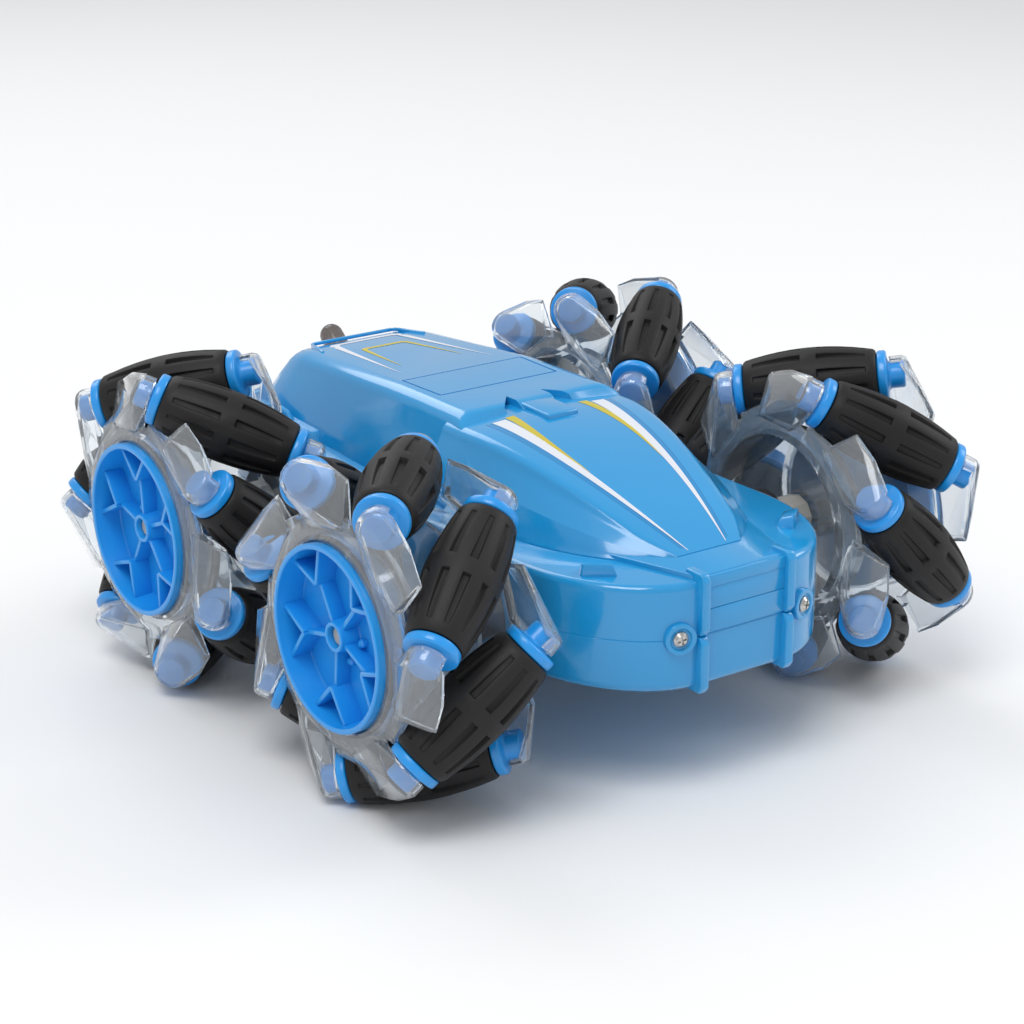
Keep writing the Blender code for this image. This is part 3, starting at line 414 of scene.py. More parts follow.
def make_spindle():
    """A blue spindle: a core inside the sleeve, a collar at each end and the pins that run in the cups."""
    half = [
        (4.6 * MM, 0.5 * MM),
        (4.6 * MM, 16.2 * MM),
        (COLLAR_RADIUS, 16.2 * MM),
        (COLLAR_RADIUS, 18.4 * MM),
        (4.1 * MM, 18.6 * MM),
        (PIN_RADIUS, 18.9 * MM),
        (PIN_RADIUS, PIN_END),
    ]
    profile = [(radius, -height) for radius, height in reversed(half)] + half
    spindle = turned("spindle", profile, 40)
    round_edges(spindle, 0.55 * MM, 3, 40)
    return spindle


# ---------------------------------------------------------------- clear shells and hub

def roller_frame(index):
    """Where a roller's own Z axis lies, about the wheel's middle, outer side towards +X."""
    axis = Vector((1, 1, 0)).normalized()
    tilt = Vector((0, 0, 1)).rotation_difference(axis).to_matrix().to_4x4()
    return Matrix.Rotation(index * ROLLER_STEP, 4, "X") @ Matrix.Translation((0, 0, ROLLER_ORBIT)) @ tilt


def around_wheel(along, radius, degrees):
    """A point on the wheel, turned back from straight up."""
    return Matrix.Rotation(math.radians(-degrees), 3, "X") @ Vector((along, 0, radius))


def lobe_points():
    """A folded lobe: the round cup over the roller's pin, a shoulder and the foot on the flange."""
    points = []
    rings = ((CUP_RADIUS, CUP_START), (CUP_RADIUS, 22.0 * MM), (4.1 * MM, 23.2 * MM), (2.8 * MM, CUP_END))
    for radius, height in rings:
        for step in range(20):
            angle = 2 * math.pi * step / 20
            around = Vector((radius * math.cos(angle), radius * math.sin(angle), height))
            points.append(roller_frame(0) @ around)
    folds = (
        (12.6, 37.6, 40), (14.0, 36.8, 40),
        (12.4, 36.2, 51), (13.6, 35.4, 51),
        (13.6, 25.5, 59), (16.0, 26.0, 57),
        (13.6, 24.2, 29), (16.2, 24.0, 30),
    )
    for along, radius, degrees in folds:
        points.append(around_wheel(along * MM, radius * MM, degrees))
    return points


def make_lobe():
    """One thin-walled lobe, open towards the rollers."""
    lobe = hulled("lobe", lobe_points())
    modify(lobe, "BEVEL", width=0.5 * MM, segments=2, limit_method="ANGLE", angle_limit=math.radians(28))
    bpy.ops.object.mode_set(mode="EDIT")
    bpy.ops.mesh.select_mode(type="FACE")
    select_faces(lobe, lambda centre, normal: normal.x < -0.35)
    bpy.ops.mesh.delete(type="FACE")
    bpy.ops.mesh.select_mode(type="VERT")
    bpy.ops.object.mode_set(mode="OBJECT")
    modify(lobe, "SOLIDIFY", thickness=SHELL_WALL, offset=-1)
    return combined(lobe, make_valley(), "UNION")


def make_valley():
    """The low plate that joins a lobe's shoulder to the next lobe's cup."""
    corners = ((14.0, 29.0, 54), (15.2, 28.4, 54), (14.0, 28.2, 72), (15.2, 27.6, 72),
               (14.0, 24.0, 54), (15.9, 24.4, 54), (14.0, 24.0, 72), (15.9, 24.4, 72))
    valley = hulled("valley", [around_wheel(along * MM, radius * MM, degrees)
                               for along, radius, degrees in corners])
    return round_edges(valley, 0.3 * MM, 2)


def make_shell(with_barrel):
    """A clear spider: a pocket for the hub, a flange and seven lobes."""
    outside = POCKET_RADIUS + SHELL_WALL
    bore = 3 * MM
    floor_top = POCKET_FLOOR + 1.6 * MM
    profile = [
        (bore, POCKET_FLOOR),
        (outside, POCKET_FLOOR),
        (outside, FLANGE_INNER),
        (FLANGE_RADIUS - 0.6 * MM, FLANGE_INNER),
        (FLANGE_RADIUS, FLANGE_OUTER - 1.2 * MM),
        (24 * MM, FLANGE_OUTER),
        (POCKET_RADIUS, FLANGE_OUTER),
        (POCKET_RADIUS, floor_top),
        (bore, floor_top),
    ]
    if with_barrel:
        barrel_end = -POCKET_FLOOR + 0.3 * MM
        profile = [(6 * MM, POCKET_FLOOR)] + profile[1:] + [(bore, barrel_end), (6 * MM, barrel_end)]
    ring = turned("ring", profile, 56, closed=True)
    placed(ring, Matrix.Rotation(math.radians(90), 4, "Y"))
    round_edges(ring, 0.3 * MM, 2, 40)
    lobe = make_lobe()
    for index in range(ROLLER_COUNT):
        turn = Matrix.Rotation(index * ROLLER_STEP, 4, "X")
        ring = combined(ring, placed(copy_of(lobe, f"lobe_{index}"), turn), "UNION")
    bpy.data.objects.remove(lobe)
    return ring


def make_hub():
    """A dished hub with a rim, a centre tube, five forked ribs and three small pegs."""
    inner = HUB_RADIUS - 1.3 * MM
    profile = [
        (2.4 * MM, 9 * MM),
        (HUB_RADIUS, 9 * MM),
        (HUB_RADIUS, HUB_RIM_FACE),
        (inner, HUB_RIM_FACE),
        (inner - 0.4 * MM, HUB_DISC),
        (3.9 * MM, HUB_DISC),
        (3.4 * MM, 15.6 * MM),
        (2.4 * MM, 15.6 * MM),
    ]
    hub = turned("hub", profile, 64, closed=True)
    round_edges(hub, 0.4 * MM, 3, 40)
    parts = [hub]

    def rib(start, end, top):
        across = (end - start).normalized().orthogonal() * 0.55 * MM
        corners = [start + across, end + across, end - across, start - across]
        bar = plate("rib", [(*corner, HUB_DISC - 0.5 * MM) for corner in corners], (0, 0, top - HUB_DISC))
        parts.append(round_edges(bar, 0.3 * MM, 2))

    for index in range(5):
        turn = Matrix.Rotation(index * 2 * math.pi / 5, 2)
        fork = turn @ Vector((HUB_FORK_RADIUS, 0))
        rib(turn @ Vector((3 * MM, 0)), fork, 15.2 * MM)
        for branch in (-HUB_FORK_ANGLE, HUB_FORK_ANGLE):
            rim = turn @ Matrix.Rotation(branch, 2) @ Vector((inner, 0))
            rib(fork, rim, 16.4 * MM)
    for index in range(3):
        angle = math.radians(20 + 36 * index)
        peg = turned("peg", [(1.05 * MM, HUB_DISC - 0.5 * MM), (1.0 * MM, HUB_DISC + 1.2 * MM),
                             (0.6 * MM, HUB_DISC + 1.7 * MM)], 16)
        placed(peg, Matrix.Translation((6 * MM * math.cos(angle), 6 * MM * math.sin(angle), 0)))
        parts.append(peg)
    hub = joined(*parts)
    return placed(hub, Matrix.Rotation(math.radians(90), 4, "Y"))


def build_wheels():
    sleeve = make_sleeve()
    spindle = make_spindle()
    outer = make_shell(False)
    inner = placed(make_shell(True), Matrix.Rotation(math.pi, 4, "Z"))
    hub = make_hub()
    for place in PLACES:
        centre = Vector(JOINTS[place + "_wheel_spin"]["pos_m"])
        first = Vector(JOINTS[place + "_roller_1_spin"]["pos_m"]) - centre
        turn = math.atan2(-first.y, first.z)
        flip = Matrix.Diagonal((math.copysign(1, centre.x), math.copysign(1, centre.y), 1, 1))
        spot = Matrix.Translation(centre) @ Matrix.Rotation(turn, 4, "X") @ flip
        body = place + "_wheel"
        for model, part, material, slot in ((outer, "outer_shell", CLEAR, "clear"),
                                            (inner, "inner_shell", CLEAR, "clear"),
                                            (hub, "hub", HUB_BLUE, "hub_blue")):
            node = f"{place}_{part}"
            piece = placed(copy_of(model, node + "_moulding"), spot)
            dressed(piece, material, slot, body, node, angle=25)
        for index in range(ROLLER_COUNT):
            node = f"{place}_roller_{index + 1}"
            joint = JOINTS[node + "_spin"]
            tilt = Vector((0, 0, 1)).rotation_difference(Vector(joint["axis"])).to_matrix().to_4x4()
            spot_here = Matrix.Translation(joint["pos_m"]) @ tilt
            rubber = placed(copy_of(sleeve, node + "_sleeve"), spot_here)
            dressed(rubber, SLEEVE_BLACK, "rubber", node, node)
            core = placed(copy_of(spindle, node + "_spindle"), spot_here)
            dressed(core, HUB_BLUE, "hub_blue", node)
    for model in (sleeve, spindle, outer, inner, hub):
        bpy.data.objects.remove(model)


# ---------------------------------------------------------------- body

def plan_outline(inset=0.0, points=12):
    """The body seen from above, pulled in by an inset, from the front round to the rear and back."""
    front = Vector((HALF_WIDTH - FRONT_CORNER.x - inset, FRONT_CORNER.y - FRONT_Y - inset))
    rear = Vector((HALF_WIDTH - REAR_CORNER.x - inset, REAR_Y - REAR_CORNER.y - inset))
    right = []
    for index in range(points + 1):
        angle = math.pi / 2 * index / points
        right.append((FRONT_CORNER.x + front.x * math.sin(angle), FRONT_CORNER.y - front.y * math.cos(angle)))
    for index in range(points + 1):
        angle = math.pi / 2 * (1 - index / points)
        across = math.sin(angle) ** (2 / 2.6)
        down = math.cos(angle) ** (2 / 2.6)
        right.append((REAR_CORNER.x + rear.x * across, REAR_CORNER.y + rear.y * down))
    return right + [(-x, y) for x, y in reversed(right)]


def slab(name, levels):
    """A solid of the body's plan through (inset, height) levels."""
    rows = [[(x, y, height) for x, y in plan_outline(inset)] for inset, height in levels]
    return skin(name, rows, wrap=True)


def rounded_levels(radius, low, high, steps=4):
    """Levels up a straight wall that ends in a rounded top edge."""
    levels = [(0, low)]
    for index in range(steps + 1):
        angle = math.pi / 2 * index / steps
        levels.append((radius * (1 - math.cos(angle)), high - radius * (1 - math.sin(angle))))
    return levels


def hood_share(y):
    """0 where the ridges meet the roof and 1 at the hood's front edge."""
    return min(1.0, max(0.0, (HOOD_TOP_Y - y) / (HOOD_TOP_Y - HOOD_FRONT_Y)))


def ridge_x(y):
    return (9 + 13 * (1 - hood_share(y) ** 1.4)) * MM


def ridge_z(y):
    return AXLE_Z + (12.6 + 16.4 * (1 - hood_share(y) ** 1.6)) * MM


def hood_foot_x(y):
    straight = -29 * MM
    if y > straight:
        return HOOD_BASE_HALF
    share = (straight - y) / (straight - HOOD_FRONT_Y + 2 * MM)
    return HOOD_BASE_HALF * math.sqrt(1 - share * share)


def hood_foot(y):
    return max(hood_foot_x(y), ridge_x(y) + 0.8 * MM)


def hood_crease_x(y):
    """The crease where the crescent flank turns in towards the ridge."""
    return hood_foot(y) + (ridge_x(y) - hood_foot(y)) * 0.30


def hood_section(y):
    """Across the hood: foot, crescent flank, rounded ridge and the gently crowned middle."""
    share = hood_share(y)
    foot = hood_foot(y)
    ridge = ridge_x(y)
    top = ridge_z(y)
    rise = top - DECK_Z
    crease_x = hood_crease_x(y)
    crease_z = DECK_Z + rise * 0.50
    crown = top + 0.9 * MM * (1 - share)
    right = [(foot, DECK_Z - MM), (foot, DECK_Z + 0.25 * MM)]
    for step in range(1, 6):
        part = step / 6
        bulge = math.sin(part * math.pi) * 0.02 * rise
        right.append((foot + (crease_x - foot) * part, DECK_Z + (crease_z - DECK_Z) * part + bulge))
    right.append((crease_x, crease_z))
    shoulder = min(2.6 * MM, (crease_x - ridge) * 0.5)
    for step in range(1, 4):
        part = step / 4
        right.append((crease_x + (ridge + shoulder - crease_x) * part,
                      crease_z + (top - 0.12 * rise - crease_z) * part))
    for step in range(0, 5):
        angle = math.pi / 2 * step / 4
        right.append((ridge + shoulder * math.cos(angle) ** 1.2, top - 0.12 * rise * (1 - math.sin(angle))))
    for step in range(1, 6):
        part = step / 6
        right.append((ridge * (1 - part), top + (crown - top) * math.sin(part * math.pi / 2)))
    ring = right + [(0.0, crown)] + [(-x, z) for x, z in reversed(right)]
    return [(x, y, z) for x, z in ring]


def make_hood():
    stations = 44
    rows = []
    for index in range(stations + 1):
        rows.append(hood_section(HOOD_FRONT_Y + (HOOD_REAR_Y - HOOD_FRONT_Y) * index / stations))
    hood = shaded(skin("hood", rows, wrap=True))
    near = 0.01 * MM
    on_crease = [abs(abs(vertex.co.x) - hood_crease_x(vertex.co.y)) < near for vertex in hood.data.vertices]
    for edge in hood.data.edges:
        if all(on_crease[index] for index in edge.vertices):
            edge.use_edge_sharp = True
    return hood


def roof_z(y):
    share = max(0.0, (y - ROOF_SLOPE_Y) / (ROOF_REAR_Y - ROOF_SLOPE_Y))
    return ROOF_FRONT_Z + (ROOF_REAR_Z - ROOF_FRONT_Z) * min(1.0, share)


def cabin_section(y_top, y_foot, pull=0.0, flare=0.0):
    """Across the cabin; the foot may stand further out, forward or back than the roof."""
    share = max(0.0, (y_top - ROOF_SLOPE_Y) / (ROOF_REAR_Y - ROOF_SLOPE_Y))
    flat = (18.5 - 3.5 * share) * MM - pull
    foot = (28.5 - 4 * share) * MM - pull
    top = roof_z(y_top) - pull
    shoulder = Vector((flat + 4.5 * MM, top - 3.2 * MM))
    right = [(foot, DECK_Z - MM), (foot, DECK_Z + 0.5 * MM)]
    for step in range(1, 4):
        right.append(Vector((foot, DECK_Z + 0.5 * MM)).lerp(shoulder, step / 4))
    for step in range(5):
        angle = math.pi / 2 * step / 4
        right.append((flat + 4.5 * MM * math.cos(angle), shoulder.y + 3.2 * MM * math.sin(angle)))
    half = []
    for x, z in right:
        lean = math.sin(math.pi / 2 * min(1.0, (top - z) / (top - DECK_Z)))
        half.append((x + flare * lean, y_top + (y_foot - y_top) * lean, z))
    return half + [(-x, y, z) for x, y, z in reversed(half)]


def make_cabin():
    """The roof, shoulders and steep sides, with the flared arch in front and the lens's slot behind."""
    rows = [
        cabin_section(ROOF_FRONT_Y, -26 * MM, flare=ARCH_FLARE),
        cabin_section(-4 * MM, -17 * MM, flare=0.8 * MM),
        cabin_section(8 * MM, 4 * MM),
        cabin_section(ROOF_SLOPE_Y, ROOF_SLOPE_Y),
        cabin_section(46 * MM, 46 * MM),
        cabin_section(63 * MM, 67 * MM),
        cabin_section(68.5 * MM, 74.5 * MM, 0.5 * MM),
        cabin_section(71.5 * MM, 78.5 * MM, 1.6 * MM),
        cabin_section(ROOF_REAR_Y, 80.5 * MM, 3.4 * MM),
    ]
    cabin = skin("cabin", rows, wrap=True)
    round_edges(cabin, 1.0 * MM, 4, 50)
    for side in (-1, 1):
        pocket = plate("pocket", [(side * 5.0 * MM, -20 * MM, ROOF_FRONT_Z - 2.6 * MM),
                                  (side * 5.0 * MM, -4.6 * MM, ROOF_FRONT_Z - 2.6 * MM),
                                  (side * 9.5 * MM, -10 * MM, ROOF_FRONT_Z - 2.6 * MM),
                                  (side * 9.5 * MM, -20 * MM, ROOF_FRONT_Z - 2.6 * MM)], (0, 0, 8 * MM))
        combined(cabin, pocket, "DIFFERENCE")
    tab = hulled("tab", [(side * 4.5 * MM, y * MM, z) for side in (-1, 1) for y, z in
                         ((-6, ROOF_FRONT_Z - 0.35 * MM), (-6, ROOF_FRONT_Z - 5 * MM),
                          (-20.5, ridge_z(-20 * MM) + 1.9 * MM), (-20.5, ridge_z(-20 * MM) - 2 * MM))])
    round_edges(tab, 0.6 * MM, 3)
    groove = plate("groove", [(x * MM, y * MM, ROOF_FRONT_Z - 0.35 * MM) for x, y in
                              ((-17.4, 5), (17.4, 5), (17.9, 21), (-17.9, 21))], (0, 0, 2 * MM))
    island = plate("island", [(x * MM, y * MM, ROOF_FRONT_Z - MM) for x, y in
                              ((-16.9, 5.5), (16.9, 5.5), (17.4, 20.5), (-17.4, 20.5))], (0, 0, 4 * MM))
    combined(groove, island, "DIFFERENCE")
    combined(cabin, groove, "DIFFERENCE")
    slot = turned("slot", [(3.9 * MM, DECK_Z + MM), (3.9 * MM, ROOF_FRONT_Z + 4 * MM)], 28)
    placed(slot, Matrix.Translation((0, 74.6 * MM, 0)))
    combined(cabin, slot, "DIFFERENCE")
    slot = plate("slot", [(x * MM, y * MM, DECK_Z + MM) for x, y in
                          ((-3.9, 74.6), (3.9, 74.6), (3.9, 90), (-3.9, 90))], (0, 0, 30 * MM))
    combined(cabin, slot, "DIFFERENCE")
    border = make_decal_border()
    return joined(cabin, tab, border)


def make_decal_border():
    """The low raised edge round the stickers at the back of the roof."""
    outer = [(-15.6, 60), (-13.2, 69.2), (-12, 70.2), (12, 70.2), (13.2, 69.2), (15.6, 60)]
    parts = []
    for (x0, y0), (x1, y1) in zip(outer, outer[1:]):
        start = Vector((x0, y0)) * MM
        end = Vector((x1, y1)) * MM
        across = (end - start).normalized().orthogonal() * 0.45 * MM
        corners = [start + across, end + across, end - across, start - across]
        bar = plate("bar", [(c.x, c.y, roof_z(c.y) - 0.6 * MM) for c in corners], (0, 0, 0.95 * MM))
        parts.append(round_edges(bar, 0.3 * MM, 2))
    return joined(*parts)


def apron_x(y):
    """The diagonal crease on the front deck."""
    return (13 + 18 * (y / MM + 85) / 57) * MM


def make_apron():
    """The raised middle of the front deck, between the two diagonal creases."""
    right = [point for point in plan_outline(0.25 * MM, 24)[:25] if point[0] < apron_x(point[1])]
    right.append((apron_x(-84 * MM), -84.2 * MM))
    right.append((31 * MM, -28 * MM))
    right.append((31 * MM, -8 * MM))
    outline = right + [(-x, y) for x, y in reversed(right)]
    apron = plate("apron", [(x, y, DECK_Z - 2.5 * MM) for x, y in outline], (0, 0, 3.6 * MM))
    return round_edges(apron, 0.3 * MM, 2)


def make_deck_bumps():
    """Light notches, arch-foot wedges, tail bumps, side panels and the fins on the stepped rear deck."""
    parts = []
    notch = hulled("notch", [(x * MM, y * MM, DECK_Z + z * MM) for x, y, z in
                             ((25.2, -73.5, -0.5), (31.8, -68.4, -0.5), (23.6, -69.2, -0.5), (29.5, -64.5, -0.5),
                              (25.8, -72.4, 2.9), (31.2, -68.4, 2.9), (25.2, -68.8, 1.6), (29.2, -65.4, 1.6))])
    round_edges(notch, 0.5 * MM, 3)
    pocket = hulled("pocket", [(x * MM, y * MM, DECK_Z + z * MM) for x, y, z in
                               ((27.0, -74.8, 0.9), (31.8, -71.2, 0.9), (27.4, -74.2, 2.2), (31.2, -71.4, 2.2),
                                (28.4, -71.2, 0.9), (29.2, -70.4, 0.9))])
    parts.append(combined(notch, pocket, "DIFFERENCE"))
    wedge = hulled("wedge", [(x * MM, y * MM, DECK_Z + z * MM) for x, y, z in
                             ((29, -28.5, -0.5), (36.4, -25.5, -0.5), (29, -18, -0.5), (36.4, -19.5, -0.5),
                              (30, -26.5, 2.2), (29, -19.5, 4.6), (34.4, -24.8, 1.7), (34, -20.5, 2.0))])
    parts.append(round_edges(wedge, 0.8 * MM, 3))
    panel = hulled("panel", [(x * MM, y * MM, z) for y0, y1, z, x in
                             ((-12, 12, DECK_Z + 1.5 * MM, 28.9), (-8, 9, DECK_Z + 9.5 * MM, 26.1))
                             for y in (y0, y1) for x in (x, x - 3)])
    parts.append(round_edges(panel, 0.4 * MM, 2))
    bump = hulled("bump", [(x * MM, y * MM, DECK_Z + z * MM) for x in (4.6, 9.4) for y, z in
                           ((78, -1), (78, 8.6), (83.4, 7.4), (87.6, 4.2), (87.6, -1))])
    parts.append(round_edges(bump, 0.9 * MM, 3))
    fin = plate("fin", [(25.9 * MM, y * MM, REAR_DECK_Z + z * MM) for y, z in
                        ((56.5, -0.6), (60, 1.9), (70, 3.2), (81.6, 4.4), (80.6, 1.2), (78.6, -1))],
                (1.5 * MM, 0, 0))
    parts.append(round_edges(fin, 0.4 * MM, 3))
    return [both_sides(part) for part in parts]


def make_rear_deck():
    """The raised rear deck on each side of the cabin, with its louvred pockets."""
    outline = [(x, y) for x, y in plan_outline(1.1 * MM, 20) if y > 50 * MM and x >= 0]
    outline = [(0.0, 46 * MM), (20 * MM, 46 * MM), (27 * MM, 43.5 * MM), (35.8 * MM, 47.5 * MM)] + outline
    outline += [(0.0, outline[-1][1])]
    top = [(x, y, REAR_DECK_Z) for x, y in outline]
    deck = plate("rear_deck", [(x, y, DECK_Z - 2 * MM) for x, y, z in top], (0, 0, 4.5 * MM))
    for vertex in deck.data.vertices:
        if vertex.co.z > DECK_Z and vertex.co.y < 48 * MM:
            vertex.co.y += 2.2 * MM
    round_edges(deck, 0.9 * MM, 3, 40)
    arc = [(28.0, 52.0), (34.6, 52.0)]
    for step in range(9):
        angle = math.pi / 2 * step / 8
        arc.append((28.2 + 6.4 * math.cos(angle), 62 + 10.5 * math.sin(angle)))
    pocket = plate("pocket", [(x * MM, y * MM, REAR_DECK_Z - 1.3 * MM) for x, y in arc + [(28.0, 72.5)]],
                   (0, 0, 3 * MM))
    combined(deck, pocket, "DIFFERENCE")
    slats = []
    for index in range(5):
        y = (55 + index * 3.3) * MM
        reach = 34.4 if y < 62 * MM else 28.2 + 6.4 * math.sqrt(max(0, 1 - ((y / MM - 62) / 10.5) ** 2))
        slat = plate("slat", [(28.0 * MM, y - 0.45 * MM, REAR_DECK_Z - 1.5 * MM),
                              (reach * MM, y - 0.45 * MM, REAR_DECK_Z - 1.5 * MM),
                              (reach * MM, y + 0.45 * MM, REAR_DECK_Z - 1.5 * MM),
                              (28.0 * MM, y + 0.45 * MM, REAR_DECK_Z - 1.5 * MM)], (0, 0, 1.2 * MM))
        slats.append(round_edges(slat, 0.25 * MM, 2))
    return both_sides(joined(deck, *slats))


def boss_frame(side):
    """On the rounded front wall, with Z pointing out of it."""
    front = Vector((HALF_WIDTH - FRONT_CORNER.x, FRONT_CORNER.y - FRONT_Y))
    across = (BOSS_X - FRONT_CORNER.x) / front.x
    y = FRONT_CORNER.y - front.y * math.sqrt(1 - across**2)
    normal = Vector((side * across / front.x, (y - FRONT_CORNER.y) / front.y**2, 0)).normalized()
    turn = Vector((0, 0, 1)).rotation_difference(normal).to_matrix().to_4x4()
    return Matrix.Translation((side * BOSS_X, y, BOSS_Z)) @ turn


def make_bumper_rib(low, high):
    """A rib over the front edge that wraps a little way onto the deck or belly."""
    reach = FRONT_Y - 2 * MM
    half = 1.15 * MM
    rib = hulled("bumper_rib", [(x, y, z) for x in (RIB_X - half, RIB_X + half) for y, z in
                                ((-81.5 * MM, low), (reach + MM, low), (reach, low + 1.6 * MM),
                                 (reach, high - 1.8 * MM), (reach + MM, high - 0.2 * MM), (-81.5 * MM, high))])
    return both_sides(round_edges(rib, 0.5 * MM, 3))


def make_bumper_panels():
    """Two low panels between the bumper ribs, parted by a thin line, and the band at the deck's edge."""
    half = RIB_X - 1.0 * MM
    panels = []
    line_z = AXLE_Z + 4.5 * MM
    band_z = DECK_Z - 1.7 * MM
    levels = (
        (PARTING_Z + 0.3 * MM, line_z, 0.5 * MM),
        (line_z + 0.1 * MM, band_z, 0.5 * MM),
        (band_z, DECK_Z + 0.9 * MM, 0.7 * MM),
    )
    for low, high, proud in levels:
        face = FRONT_Y - proud
        outline = [(-half, face, low), (half, face, low), (half, face, high), (-half, face, high)]
        panel = plate("bumper_panel", outline, (0, 2.5 * MM, 0))
        panels.append(round_edges(panel, 0.12 * MM, 2))
    return joined(*panels)


def build_upper_shell():
    """The upper moulding: walls and deck, hood, cabin, rear deck and everything raised on them."""
    foot = [(0.15 * MM, PARTING_Z - 0.2 * MM)]
    walls = slab("upper_walls", foot + rounded_levels(1.6 * MM, PARTING_Z, DECK_Z))
    parts = [walls, make_apron(), make_cabin(), make_rear_deck(), *make_deck_bumps(), make_bumper_panels()]
    parts.append(make_bumper_rib(PARTING_Z, DECK_Z + 2.0 * MM))
    low = PARTING_Z + 5 * MM
    block = plate("tail_block", [(x * MM, y * MM, low) for x, y in ((-9, 76), (9, 76), (9, 87), (-9, 87))],
                  (0, 0, 8 * MM))
    parts.append(round_edges(block, 0.8 * MM, 3))
    for side in (-1, 1):
        profile = [(BOSS_RADIUS, -2 * MM), (BOSS_RADIUS, BOSS_PROUD)]
        profile += [(2.5 * MM, BOSS_PROUD), (2.4 * MM, 0.5 * MM)]
        boss = turned("boss", profile, 40)
        round_edges(boss, 0.35 * MM, 3)
        parts.append(placed(boss, boss_frame(side)))
    shell = joined(*[shaded(part) for part in parts], make_hood())
    shell.name = "upper_shell_moulding"
    return dressed(shell, BODY_BLUE, "body_blue", "chassis", "upper_shell", angle=None)


def build_lower_shell():
    """The belly tub with its side pegs and the lower ends of the bumper ribs."""
    levels = [(0.15 * MM, PARTING_Z - 0.15 * MM), (0, PARTING_Z - 0.4 * MM)]
    for step in range(5):
        angle = math.pi / 2 * step / 4
        levels.append((2.4 * MM * (1 - math.cos(angle)), BELLY_Z + 2.4 * MM * (1 - math.sin(angle))))
    tub = slab("lower_tub", levels)
    arm = hulled("arm", [(x * MM, y * MM, z) for x in (36, 41.5) for y in (-3.8, 3.8)
                         for z in (BELLY_Z + MM, AXLE_Z - 4 * MM)])
    end = turned("bracket_end", [(3.8 * MM, BELLY_Z + MM), (3.8 * MM, AXLE_Z - 4 * MM)], 36)
    peg = turned("peg", [(2.5 * MM, AXLE_Z - 5 * MM), (2.5 * MM, AXLE_Z + 4 * MM)], 36)
    for part in (end, peg):
        placed(part, Matrix.Translation((41.5 * MM, 0, 0)))
    round_edges(arm, 0.5 * MM, 2)
    round_edges(end, 0.5 * MM, 2)
    round_edges(peg, 0.7 * MM, 3)
    bracket = joined(arm, end, peg)
    parts = [tub, both_sides(bracket), make_bumper_rib(BELLY_Z - 0.9 * MM, PARTING_Z)]
    shell = joined(*parts)
    shell.name = "lower_shell_moulding"
    return dressed(shell, BODY_BLUE, "body_blue", "chassis", "lower_shell")


# ---------------------------------------------------------------- stickers and lines

def laid_strip(name, left, right, onto, lift):
    """A thin strip between two edges of (x, y) points, dropped onto the moulding below."""
    rows = [[(*(Vector(a).lerp(Vector(b), part / 3)), 0.1) for part in range(4)] for a, b in zip(left, right)]
    strip = skin(name, rows, cap=False)
    modify(strip, "SHRINKWRAP", target=onto, wrap_method="PROJECT", use_project_z=True,
           use_negative_direction=True, use_positive_direction=False, offset=lift)
    return strip


def stripe_edges(inner_top, inner_tip, outer_top, outer_tip, y_top, y_tip, bow):
    """Two edges that run down the hood from a wide top to a sharp tip, bowed outwards."""
    left, right = [], []
    for index in range(33):
        part = index / 32
        y = (y_top + (y_tip - y_top) * part) * MM
        curve = bow * math.sin(part * math.pi) ** 0.9
        left.append(((inner_top + (inner_tip - inner_top) * part + curve) * MM, y))
        right.append(((outer_top + (outer_tip - outer_top) * part + curve) * MM, y))
    return left, right


def build_stickers(shell):
    stripes = (
        ("stripe_white", STICKER_WHITE, "decal_white", (12.6, 5.3, 16.4, 5.5, -14.6, -73.0, 1.6)),
        ("stripe_yellow", STICKER_YELLOW, "decal_yellow", (9.4, 10.3, 12.0, 10.4, -13.6, -44.0, 0.9)),
    )
    for name, material, slot, shape in stripes:
        left, right = stripe_edges(*shape)
        strip = both_sides(laid_strip(name, left, right, shell, 0.06 * MM))
        dressed(strip, material, slot, "chassis")
    for number, shift in enumerate((0.5, 1.5)):
        tip = shift * 0.6
        left, right = stripe_edges(16.4 + shift, 5.6 + tip, 16.6 + shift, 5.75 + tip, -14.6, -72, 1.6)
        line = both_sides(laid_strip(f"panel_line_{number + 1}", left, right, shell, 0.03 * MM))
        dressed(line, LINE_BLUE, "body_blue", "chassis")
    for name, material, slot, outer, inner in (
            ("tail_mark_white", STICKER_WHITE, "decal_white",
             [(13.6, 27.4), (12.3, 45), (10.8, 64.6), (9.4, 66.2), (0, 66.2)],
             [(13.5, 27.6), (11.3, 45), (9.0, 62.6), (7.8, 64.1), (0, 64.1)]),
            ("tail_mark_yellow", STICKER_YELLOW, "decal_yellow",
             [(9.2, 33.6), (8.3, 44), (7.0, 55.3), (6.0, 56.4), (0, 56.4)],
             [(9.1, 33.8), (7.6, 44), (5.9, 54.2), (5.2, 55.0), (0, 55.0)])):
        left, right = [], []
        for (a, b), (c, d) in zip(zip(outer, outer[1:]), zip(inner, inner[1:])):
            for step in range(4):
                left.append(Vector(a).lerp(Vector(b), step / 4) * MM)
                right.append(Vector(c).lerp(Vector(d), step / 4) * MM)
        left.append(Vector(outer[-1]) * MM)
        right.append(Vector(inner[-1]) * MM)
        strip = both_sides(laid_strip(name, left, right, shell, 0.06 * MM))
        dressed(strip, material, slot, "chassis")


# ---------------------------------------------------------------- small parts

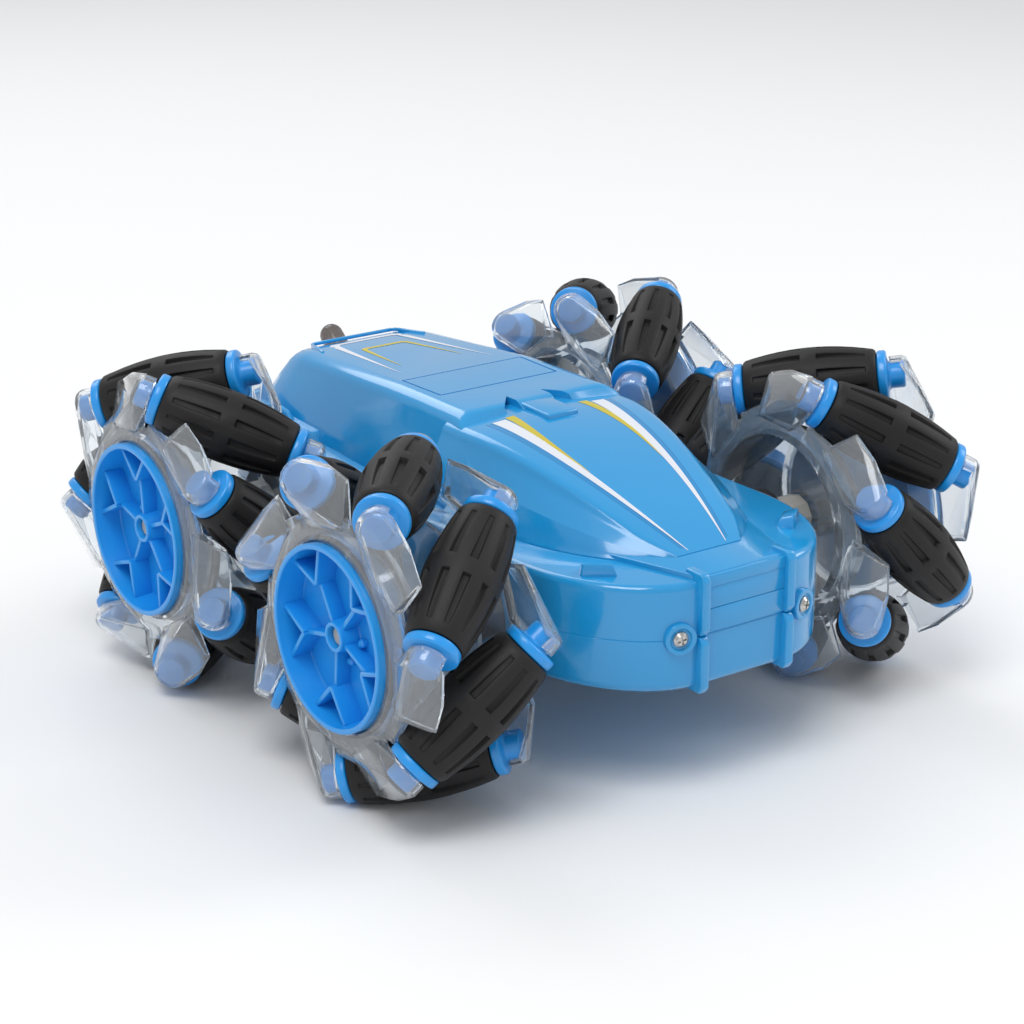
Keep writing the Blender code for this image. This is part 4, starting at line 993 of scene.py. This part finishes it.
def build_screws():
    """Bright cross-head screws in the bumper bosses."""
    radius = 1.75
    for node, spot in (("bumper_screw_left", boss_frame(-1)), ("bumper_screw_right", boss_frame(1))):
        screw = turned(node, [(1.1 * MM, -6 * MM), (1.1 * MM, 0.2 * MM), (radius * MM, 0.2 * MM),
                              (radius * MM, 0.6 * MM), (radius * 0.62 * MM, 1.2 * MM)], 32)
        for long_side in (Vector((1.05, 0.24)), Vector((0.24, 1.05))):
            x, y = long_side * MM
            floor = 0.7 * MM
            cross = [(-x, -y, floor), (x, -y, floor), (x, y, floor), (-x, y, floor)]
            cutter = plate("cross", cross, (0, 0, 2 * MM))
            combined(screw, cutter, "DIFFERENCE")
        placed(screw, spot @ Matrix.Translation((0, 0, 0.3 * MM)))
        screw.name = node + "_head"
        dressed(screw, STEEL, "steel", "chassis", node)


def build_tail_lens():
    """A smoked capsule that leans back out of the tail's slot, on a stem that stands on the slot's floor."""
    length = (LENS_TIP - LENS_FOOT).length
    half = [(LENS_RADIUS * math.sin(math.pi / 2 * step / 8), LENS_RADIUS * math.cos(math.pi / 2 * step / 8))
            for step in range(1, 9)]
    profile = [(radius, -height) for radius, height in half]
    profile += [(radius, length + height) for radius, height in reversed(half)]
    lens = turned("tail_lens_capsule", profile, 32)
    turn = Vector((0, 0, 1)).rotation_difference(LENS_TIP - LENS_FOOT).to_matrix().to_4x4()
    placed(lens, Matrix.Translation(LENS_FOOT) @ turn)
    stem = turned("stem", [(2 * MM, DECK_Z + MM), (2 * MM, (LENS_FOOT.z + LENS_TIP.z) / 2)], 28)
    combined(lens, placed(stem, Matrix.Translation((0, LENS_STEM_Y, 0))), "UNION")
    dressed(lens, SMOKED, "smoked", "chassis", "tail_lens")


def paint_kept_nodes():
    """Finishes for the frame's own pieces that stay as they are."""
    paints = {"circuit_board": BOARD, "battery_pack": DARK, "battery_door": BODY_BLUE, "switch_case": FROST,
              "power_switch": DARK, "door_screw": STEEL}
    for place in PLACES:
        paints[place + "_gearmotor"] = DARK
        paints[place + "_axle"] = FROST
    for node, material in paints.items():
        for material_slot in frame["nodes"][node].material_slots:
            material_slot.material = material


# ---------------------------------------------------------------- studio

def studio():
    floor = fresh("floor", bpy.ops.mesh.primitive_plane_add, size=8)
    paper = bpy.data.materials.new("floor_paper")
    paper.use_nodes = True
    shader = paper.node_tree.nodes["Principled BSDF"]
    shader.inputs["Base Color"].default_value = (0.86, 0.87, 0.88, 1)
    shader.inputs["Roughness"].default_value = 0.8
    floor.data.materials.append(paper)
    world = bpy.data.worlds.new("studio")
    bpy.context.scene.world = world
    world.use_nodes = True
    world.node_tree.nodes["Background"].inputs["Color"].default_value = (1, 1, 1, 1)
    world.node_tree.nodes["Background"].inputs["Strength"].default_value = 0.6
    lamps = (("key_light", (-0.5, -0.35, 1.1), 0.6, 6.5), ("side_light", (0.9, -0.3, 0.7), 0.5, 3),
             ("back_light", (0.1, 0.9, 0.9), 0.7, 3.5))
    for name, spot, size, power in lamps:
        light = bpy.data.lights.new(name, "AREA")
        light.size = size
        light.energy = power
        lamp = bpy.data.objects.new(name, light)
        lamp.location = spot
        lamp.rotation_euler = (Vector((0, 0, AXLE_Z)) - Vector(spot)).to_track_quat("-Z", "Y").to_euler()
        bpy.context.scene.collection.objects.link(lamp)
    lens = bpy.data.cameras.new("camera")
    lens.lens = 92
    camera = bpy.data.objects.new("camera", lens)
    camera.location = (-0.3545, -0.4857, 0.2518)
    aim = Vector((0, 0, AXLE_Z))
    camera.rotation_euler = (aim - camera.location).to_track_quat("-Z", "Y").to_euler()
    bpy.context.scene.collection.objects.link(camera)
    bpy.context.scene.camera = camera
    bpy.context.scene.view_settings.view_transform = "Standard"


build_wheels()
UPPER = build_upper_shell()
build_lower_shell()
build_stickers(UPPER)
build_screws()
build_tail_lens()
paint_kept_nodes()
studio()
